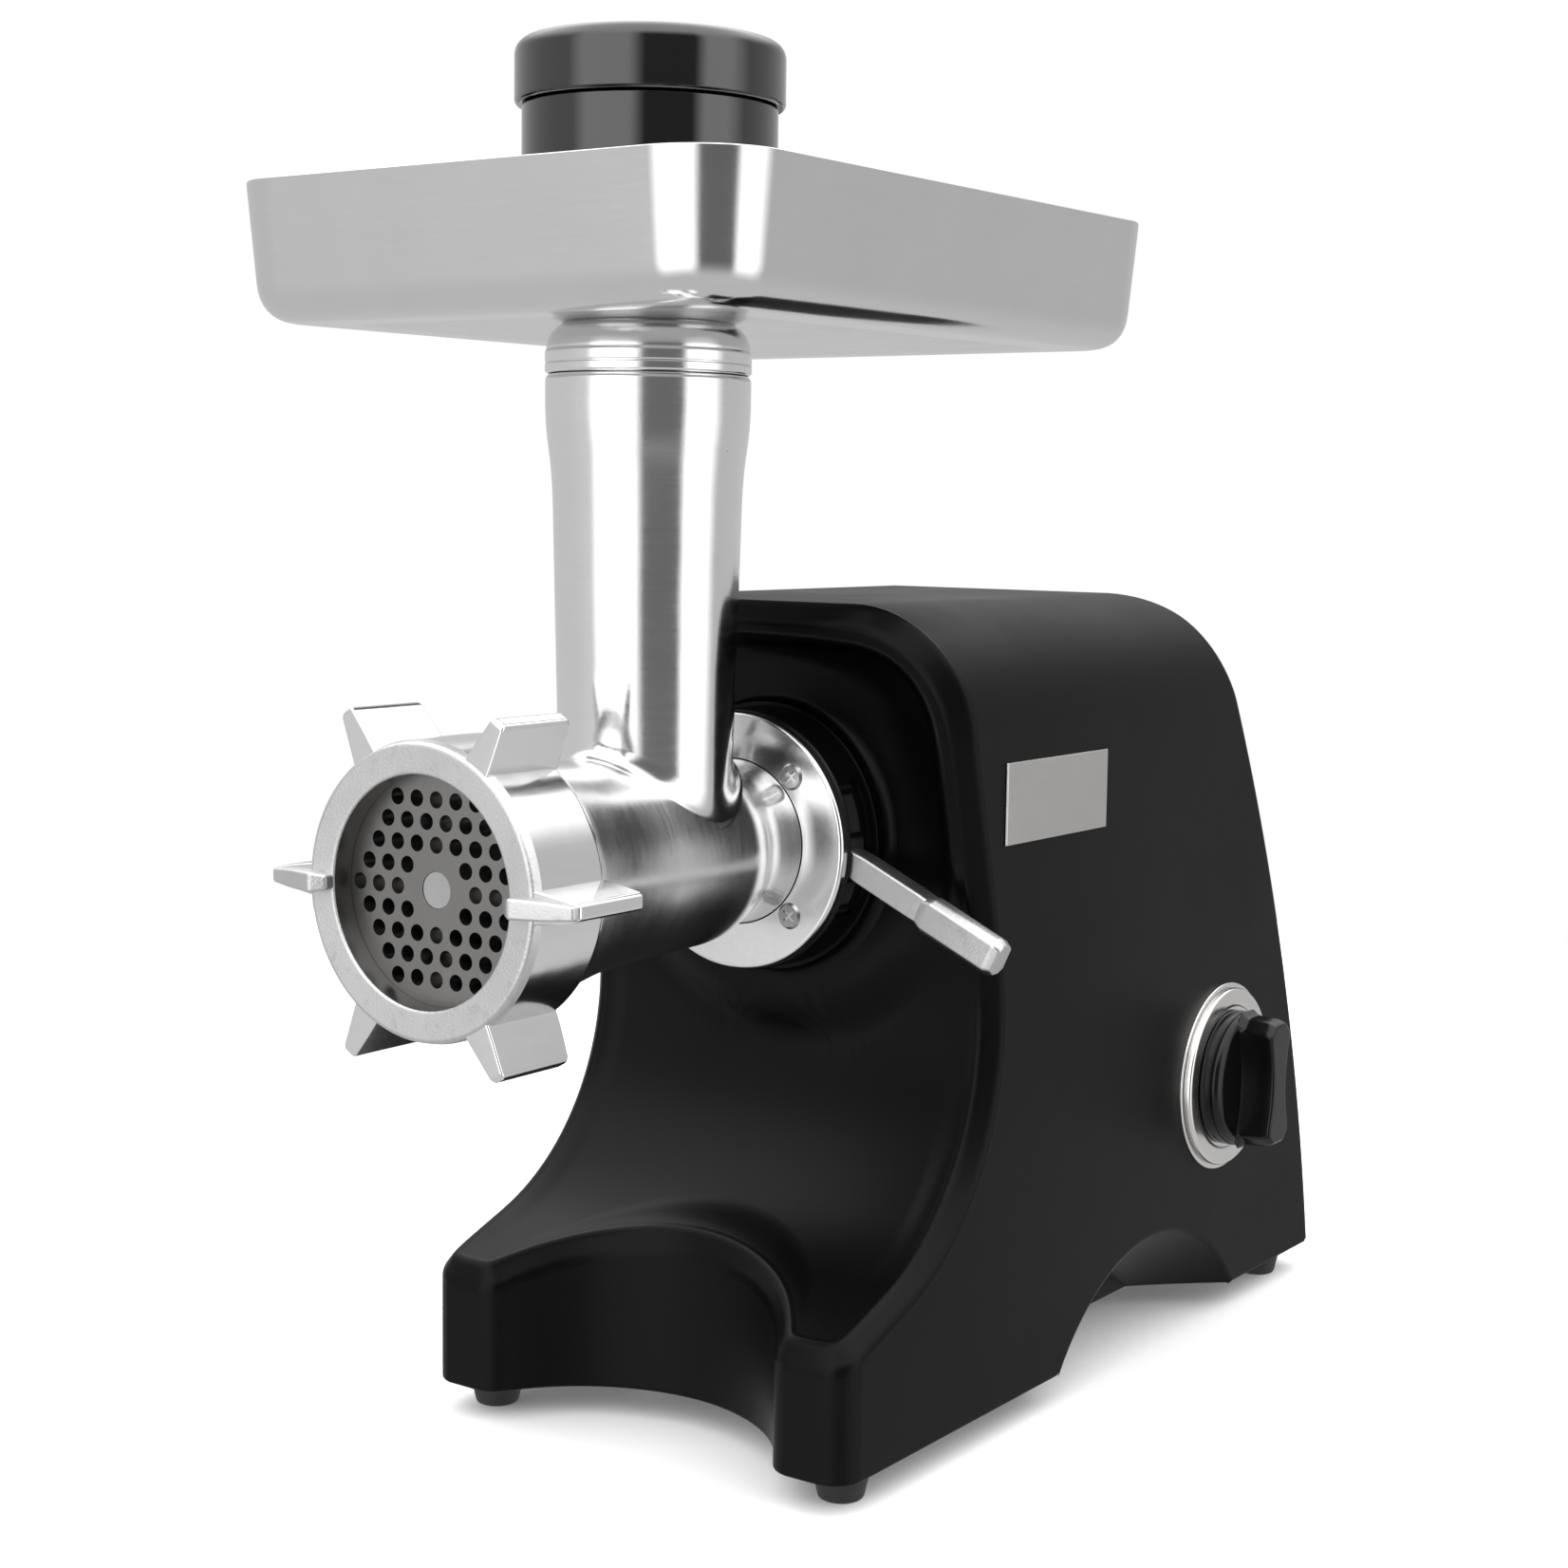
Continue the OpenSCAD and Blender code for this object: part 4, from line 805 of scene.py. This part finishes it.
def build_ring_nut():
    b = Build()
    line = rounded([(30.1, 6.9), (30.1, 0.4, 0.9), (38.3, 0.1, 1.3), (39.0, 3.0)], 6)
    # the bore's inner wall takes the dark plate steel: painted shade for the shadowed recess wall
    lathe(b, line[:3], AXIS, kind=2, inside=True)
    lathe(b, line[2:8], AXIS, kind=1, inside=True)
    lathe(b, line[7:], AXIS, kind=1)
    line = rounded([(39.0, 3.0), (39.0, 26.2, 0.6), (38.0, 28.2, 0.5), (34.2, 28.2)], 5)
    lathe(b, line, AXIS)
    b.make("nut_shell", "ring_nut", ["nut", "annulus", "plate"], ["ring_nut"], "satin_aluminium")
    for i in range(6):
        turn = Matrix.Translation(Vector(AXIS) * MM) @ Matrix.Rotation(math.radians(60 * i), 4, "Y")
        # lug: front and rear edges slope, and it narrows outwards
        loops = []
        for r, half, y0, y1 in ((36, 4.6, 0.6, 27.6), (43, 3.6, 0.9, 27.5), (51.0, 2.3, 1.1, 27.0),
                                (52.0, 1.6, 1.9, 26.2)):
            loops.append([(r, y0, -half), (r, y0, half), (r, y1, half), (r, y1, -half)])
        solid(f"nut_lug_{i + 1}", loops, "ring_nut", "nut", 0.9, 3, (), "satin_aluminium", turn)
    for i, s in enumerate((0, math.pi)):
        turn = Matrix.Translation(Vector(AXIS) * MM) @ Matrix.Rotation(s, 4, "Y")
        loops = [[(r, y0, -h), (r, y0, h), (r, 3, h), (r, 3, -h)]
                 for r, h, y0 in ((30.3, 1.9, -2.0), (34, 2.7, -4.8), (43, 2.5, -2.7), (51.6, 1.9, -0.5))]
        solid(f"nut_bar_{i + 1}", loops, "ring_nut", "annulus", 0.8, 3, (), "satin_aluminium", turn)


def build_flange():
    b = Build()
    line = rounded([(24.55, 138), (24.55, 134.6, 0.3), (37.7, 134.6, 0.7), (38.3, 135.6, 0.4),
                    (38.3, 137.5)], 5)
    lathe(b, line[:8], AXIS, inside=True)
    lathe(b, line[7:], AXIS)
    b.make("flange_ring", "machine", ["flange"], ["face_ring"], "cast_aluminium")


build_casting()
build_ring_nut()
build_flange()


# ---- tray and pusher --------------------------------------------------------

TRAY_R = 24             # radius of the tray's corners
TRAY_H = 38.6           # height of the tray's walls
SHEET = 1.6             # thickness of the tray's sheet
FLAT_IN = 26            # how far the flat floor starts inside the tray's edge


def tray_loop(inset, z, steps=12):
    """Rounded rectangle of the tray's outline, pulled in, as a closed loop of points."""
    lo, hi = box_of("tray")
    x0, y0, x1, y1 = lo[0], lo[1], hi[0], hi[1]
    r = TRAY_R - min(inset, TRAY_R / 2)
    out = []
    for cx, cy, a0 in ((x1 - inset - r, y1 - inset - r, 0), (x0 + inset + r, y1 - inset - r, 90),
                       (x0 + inset + r, y0 + inset + r, 180), (x1 - inset - r, y0 + inset + r, 270)):
        for a in np.radians(np.linspace(a0, a0 + 90, steps + 1)):
            out.append((cx + r * math.cos(a), cy + r * math.sin(a), z))
        nxt = {0: (x0 + inset + r, y1 - inset), 90: (x0 + inset, y0 + inset + r),
               180: (x1 - inset - r, y0 + inset), 270: (x1 - inset, y1 - inset - r)}[a0]
        last = out[-1]
        for t in np.linspace(0, 1, 10)[1:-1]:
            out.append((last[0] + (nxt[0] - last[0]) * t, last[1] + (nxt[1] - last[1]) * t, z))
    return np.array(out)


def build_tray():
    b = Build()
    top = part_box("tray")[1][2] / MM
    floor_z = top - TRAY_H
    outer = rounded([(0.9, top), (0, top, 0.5), (0.1, top - 1.6, 0.5), (3.6, floor_z, 11),
                     (FLAT_IN, floor_z)], 9)
    inner = rounded([(0.9, top), (1.8, top, 0.5), (1.9, top - 1.6, 0.5), (5.2, floor_z + SHEET, 10),
                     (FLAT_IN, floor_z + SHEET)], 9)
    b.patch([tray_loop(i, z) for i, z in outer], centre=(0, 0, 345), wrap=True)
    b.patch([tray_loop(i, z) for i, z in inner], centre=(0, 0, 345), inside=True, wrap=True, kind=1)
    for z, r_end, kind, out in ((floor_z, 23.2, 3, -UP), (floor_z + SHEET, 20.9, 1, UP)):
        rim = tray_loop(FLAT_IN, z)
        away = rim[:, :2] - TUBE[:2]
        away = away / np.linalg.norm(away, axis=1, keepdims=True)
        end = np.concatenate([TUBE[:2] + away * r_end, np.full((len(rim), 1), z)], 1)
        b.patch([rim + (end - rim) * t for t in np.linspace(0, 1, 8)], out=out, wrap=True, kind=kind)
    # neck on the feed tube, with two beads
    line = rounded([(21.75, 300.6), (21.75, 308.7), (27.8, 308.7, 0.3), (28.5, 309.3, 0.4),
                    (28.5, 311.2, 0.5), (28.35, 311.5, 0.2), (28.35, 311.8, 0.2), (28.5, 312.1, 0.2),
                    (28.5, 314.7, 0.4), (28.1, 315.2, 0.3), (28.1, 316.2, 1), (27.4, 319, 2),
                    (25.4, 321.4, 2), (23.2, 322.8)], 6)
    lathe(b, line, TUBE, "z", kind=2)
    lathe(b, [(20.9, 300.6), (20.9, 324.2)], TUBE, "z", kind=1, inside=True)
    lathe(b, [(21.75, 300.6), (20.9, 300.6)], TUBE, "z", kind=1)
    b.make("feed_tray", "tray", ["tray", "tray_in", "tube", "tray_under"], ["tray"], "tray_aluminium")


def build_pusher():
    b = Build()
    line = rounded([(17.8, 214), (20.4, 214, 0.6), (20.4, 324.4, 0.5), (34.4, 324.4, 1.5), (35, 328),
                    (35, 380.4, 0.4), (33.4, 380.6)], 5)
    lathe(b, line, TUBE, "z")
    lathe(b, [(17.8, 214), (17.8, 323)], TUBE, "z", inside=True)
    lathe(b, [(17.8, 323), (0.01, 323)], TUBE, "z")
    b.make("pusher_body", "pusher", ["gloss"], ["pusher"], "black_gloss")
    cap = Build()
    line = rounded([(33.5, 380.8), (36.4, 380.8, 0.4), (37, 381.6, 0.5), (37, 395.7, 2.2),
                    (34.6, 398.1, 2.2), (31.4, 397.9, 1), (30.8, 397.2, 1), (0.01, 397.0)], 7)
    lathe(cap, line, TUBE, "z")
    cap.make("pusher_lid", "pusher_cap", ["gloss"], ["pusher_cap"], "black_gloss")


build_tray()
build_pusher()


# ---- collar, lever and switch -----------------------------------------------

COLLAR_R = 38.9
SLOT_R, SLOT_EDGE_R = 34.2, 37.85   # floor of the lever's slot, and where its end walls start
LEVER_R, FRAME_R = 37.2, 37.7       # the lever's ring, and the raised frames on it


def axis_point(r, y, a):
    return r * math.cos(a), y - MID_Y, AXIS_Z + r * math.sin(a)


def tube_part(b, r, y0, y1, a0, a1, inside=False, steps=60, kind=0):
    turn = np.radians(np.linspace(a0, a1, steps))
    rows = [[axis_point(r, y, a) for a in turn] for y in (y0, y1)]
    b.patch(rows, centre=AXIS, inside=inside, kind=kind)


def radial_wall(b, r0, r1, y0, y1, angle, out_turn):
    a = math.radians(angle)
    rows = [[axis_point(r, y, a) for y in (y0, y1)] for r in (r0, r1)]
    o = math.radians(angle + out_turn)
    b.patch(rows, out=(math.cos(o), 0, math.sin(o)))


def build_collar():
    b = Build()
    y0, y1, y2, y3 = 137.75, 138.6, 148.6, 156.5
    low, high = -31.0, 29.0
    tube_part(b, COLLAR_R, y1, y2, high, 360 + low, steps=120)
    lathe(b, rounded([(33, y0), (38.4, y0, 0.5), (COLLAR_R, y0 + 0.7)], 4), AXIS)
    tube_part(b, COLLAR_R, y0 + 0.7, y1, 0, 360, steps=144)
    tube_part(b, COLLAR_R, y2, y3, 0, 360, steps=144)
    tube_part(b, SLOT_R, y1, y2, low, high)
    for y, out in ((y1, 1), (y2, -1)):
        turn = np.radians(np.linspace(low, high, 40))
        rows = [[axis_point(r, y, a) for a in turn] for r in (SLOT_R, COLLAR_R)]
        b.patch(rows, out=(0, out, 0))
    radial_wall(b, SLOT_EDGE_R, COLLAR_R, y1, y2, low, 90)
    radial_wall(b, SLOT_EDGE_R, COLLAR_R, y1, y2, high, -90)
    b.make("collar_shell", "machine", ["collar"], ["collar"], "black_shell")


def build_lever():
    dip = math.radians(24.6)
    root = Vector((35.5, 138.2 - MID_Y, AXIS_Z - 3)) * MM
    turn = Matrix.Translation(root) @ Matrix.Rotation(dip, 4, "Y")
    bar = [[(x, 1.2, -h), (x, 8.2, -h), (x, 8.2, h), (x, 1.2, h)]
           for x, h in ((0, 3.6), (6, 4.1), (27, 4.1), (30, 3.9))]
    solid("lever_bar", bar, "lever", "lever", 0.8, 3, ["lock_lever"], "satin_aluminium", turn)
    shape = [(0, -5), (3, -7.4), (6, -7.4), (8.6, -5), (8.6, 4.4), (5, 6), (2, 6), (0, 4.4)]
    middle = np.array([4.3, -0.6])
    grip = []
    for x, k in ((27.0, 0.72), (31.5, 1.0), (54.5, 1.0), (57, 0.8)):
        scaled = [middle + (np.array(q) - middle) * k for q in shape]
        grip.append([(x, 0.4 + p[0], 0.86 * p[1]) for p in scaled])
    solid("lever_grip", grip, "lever", "lever", 0.7, 3, (), "satin_aluminium", turn)
    b = Build()
    tube_part(b, LEVER_R, 139.2, 147.8, 0, 360, steps=120)
    b.make("lever_ring", "lever", ["dark"], (), "satin_aluminium")
    # two raised frames that ride on the lever's ring, one each side of its root
    for i, (a0, a1) in enumerate(((5, 27), (-29, -13))):
        frame_piece = Build()
        mid = (a0 + a1) / 2
        for (p, q, y0, y1) in ((a0, a0 + 2.2, 139.2, 147.6), (a1 - 2.2, a1, 139.2, 147.6),
                               (a0, a1, 139.2, 140.6), (a0, a1, 146.2, 147.6)):
            tube_part(frame_piece, FRAME_R, y0, y1, p, q, steps=8)
            for y, o in ((y0, -1), (y1, 1)):
                turns = np.radians(np.linspace(p, q, 8))
                frame_piece.patch([[axis_point(r, y, a) for a in turns] for r in (LEVER_R, FRAME_R)],
                                  out=(0, o, 0))
            radial_wall(frame_piece, LEVER_R, FRAME_R, y0, y1, p, -90)
            radial_wall(frame_piece, LEVER_R, FRAME_R, y0, y1, q, 90)
        frame_piece.make(f"lever_frame_{i + 1}", "lever", ["collar"], (), "black_shell")


def build_switch():
    lo, hi = box_of("escutcheon")
    centre = np.array([lo[0], (lo[1] + hi[1]) / 2, (lo[2] + hi[2]) / 2])
    b = Build()
    line = rounded([(31.5, 0), (31.5, 1.4, 0.5), (29.0, 1.6, 0.4), (28.9, 2.0, 0.2), (30.0, 2.4, 0.2),
                    (29.6, 3.8, 0.9), (24.6, 4.0, 0.5), (23.6, 3.2, 0.3), (22.4, 3.2)], 5)
    lathe(b, line, centre, "x")
    b.make("switch_ring", "machine", ["chrome"], ["escutcheon"], "chrome")
    depth = box_of("knob")[1][0] - centre[0] - 3.5
    k = Build()
    base = centre + [3.5, 0, 0]
    line = rounded([(22.5, 0), (22.5, 5.2, 1.2), (20.3, 6.8, 1.2), (0.01, 6.9)], 5)
    lathe(k, line, base, "x")
    k.make("knob_disc", "knob", ["knob"], ["knob"], "black_gloss")
    loops = []
    for d, grow in ((5.5, 1.12), (8.0, 1.02), (depth - 3, 1.0), (depth, 0.95)):
        loop = []
        for sign in (1, -1):
            for y in np.linspace(21, -21, 13):
                half = 7.6 - 2.6 * max(0.0, 1 - (y / 15.5) ** 2)
                half = min(half, 7.6 - max(0, abs(y) - 17.5) ** 2 * 0.28)
                loop.append((base[0] + d, base[1] + sign * half * grow, base[2] + sign * y * grow))
        loops.append(loop)
    solid("knob_grip", loops, "knob", "knob", 1.0, 4, (), "black_gloss")


def build_badge():
    lo, hi = box_of("badge")
    plate = []
    for x, g in ((lo[0], 0), (hi[0] - 0.25, 0), (hi[0], 0.3)):
        plate.append([(x, lo[1] + g, lo[2] + g), (x, hi[1] - g, lo[2] + g),
                      (x, hi[1] - g, hi[2] - g), (x, lo[1] + g, hi[2] - g)])
    solid("badge_plate", plate, "machine", "badge", 0.25, 2, ["badge"], "badge_metal")


def build_feet():
    b = Build()
    lo, hi = box_of("feet")
    for x in (lo[0] + 8, hi[0] - 8):
        for y in (lo[1] + 8, hi[1] - 8):
            line = rounded([(0.01, 0.6), (4, 0.6, 0.2), (4.4, 0, 0.2), (6.4, 0, 1.2),
                            (7.9, 6.6, 1.0), (8, 9.0)], 5)
            lathe(b, line, np.array([x, y, 0]), "z", 48)
    b.make("foot_pads", "machine", ["rubber"], ["feet"], "rubber")


build_collar()
build_lever()
build_switch()
build_badge()
build_feet()


# ---- materials of the CAD parts that stay -----------------------------------

KEPT = {
    "base_plate": "dark", "foot_screws": "screw", "base_screws": "screw", "face_ring_screws": "screw",
    "cutting_plate": "plate", "knife": "steel", "auger": "steel", "thrust_washer": "nylon",
    "gearbox_front": "zinc", "gearbox_rear": "zinc", "gearbox_screws": "screw", "output_wheel": "gear",
    "layshaft": "gear", "output_bearings": "steel", "lay_bearings": "steel", "armature": "copper",
    "motor_fan": "dark", "stator": "iron", "field_coils": "copper", "motor_bracket": "steel",
    "motor_bearings": "steel", "brush_holders": "copper", "rotary_switch": "dark",
    "cord_inlet": "rubber", "terminal_block": "nylon",
}
for node, material in KEPT.items():
    piece = nodes[node]
    piece.data.materials.clear()
    piece.data.materials.append(M[material])


# ---- studio -----------------------------------------------------------------

def build_world():
    """Soft studio: bright panels in front and to the right, a dark gap between them."""
    world = bpy.data.worlds.new("studio")
    bpy.context.scene.world = world
    world.use_nodes = True
    tree = world.node_tree
    tree.nodes.clear()

    def node(kind, **inputs):
        n = tree.nodes.new("ShaderNode" + kind)
        for key, value in inputs.items():
            socket = n.inputs[int(key[1:])] if key[0] == "i" and key[1:].isdigit() else n.inputs[key]
            if isinstance(value, bpy.types.NodeSocket):
                tree.links.new(value, socket)
            else:
                socket.default_value = value
        return n

    way = node("SeparateXYZ", Vector=node("TexCoord").outputs["Generated"])
    back = node("Math", i0=way.outputs[1], i1=-1.0)
    back.operation = "MULTIPLY"
    angle = node("Math", i0=way.outputs[0], i1=back.outputs[0])
    angle.operation = "ARCTAN2"
    turn = node("Math", i0=angle.outputs[0], i1=1 / (2 * math.pi), i2=0.5)
    turn.operation = "MULTIPLY_ADD"
    ramp = node("ValToRGB", Fac=turn.outputs[0])
    # brightness round the object, in degrees from the front towards the right
    stops = ((-180, 0.60), (-60, 0.66), (-34, 0.74), (-20, 2.0), (20, 2.0), (33, 0.16), (76, 0.16),
             (87, 2.0), (110, 1.9), (130, 0.56), (180, 0.60))
    marks = ramp.color_ramp.elements
    while len(marks) < len(stops):
        marks.new(0.5)
    for mark, (degrees, level) in zip(marks, stops):
        mark.position = degrees / 360 + 0.5
        mark.color = (level / 3, level / 3, level / 3, 1)
    # an even, bright ceiling above and an even, duller reflection of the table below
    colour = ramp.outputs[0]
    for low, high, level in ((0.3, 0.75, 0.85), (-0.12, -0.6, 0.22)):
        share = node("MapRange", Value=way.outputs[2])
        share.interpolation_type = "SMOOTHSTEP"
        share.inputs["From Min"].default_value, share.inputs["From Max"].default_value = low, high
        sky = tree.nodes.new("ShaderNodeMix")
        sky.data_type = "RGBA"
        tree.links.new(share.outputs[0], sky.inputs[0])
        tree.links.new(colour, sky.inputs[6])
        sky.inputs[7].default_value = (level, level, level, 1)
        colour = sky.outputs[2]
    lit = node("Background", Color=colour, Strength=3.0)
    white = node("Background", Color=(1, 1, 1, 1), Strength=1.0)
    seen = tree.nodes.new("ShaderNodeMixShader")
    tree.links.new(tree.nodes.new("ShaderNodeLightPath").outputs["Is Camera Ray"], seen.inputs[0])
    tree.links.new(lit.outputs[0], seen.inputs[1])
    tree.links.new(white.outputs[0], seen.inputs[2])
    tree.links.new(seen.outputs[0], tree.nodes.new("ShaderNodeOutputWorld").inputs[0])


FLOOR_R = 0.95          # metres


def build_floor():
    t = Tree("floor_paper")
    t.set(Base_Color=t.blend(t.noise(4.0), grey(0.86), grey(0.9)), Roughness=0.8,
          Emission_Color=grey(1.0), Emission_Strength=0.1)
    data = bpy.data.meshes.new("floor")
    turns = np.linspace(0, 2 * math.pi, 97)[:-1]
    ring = [(FLOOR_R * math.cos(a), FLOOR_R * math.sin(a), 0) for a in turns]
    data.from_pydata(ring, [], [list(range(96))])
    data.materials.append(t.mat)
    floor = bpy.data.objects.new("floor", data)
    bpy.context.scene.collection.objects.link(floor)
    floor.visible_glossy = False  # polished metal mirrors the studio's even table instead


build_world()
build_floor()
bpy.context.scene.view_settings.view_transform = "Standard"
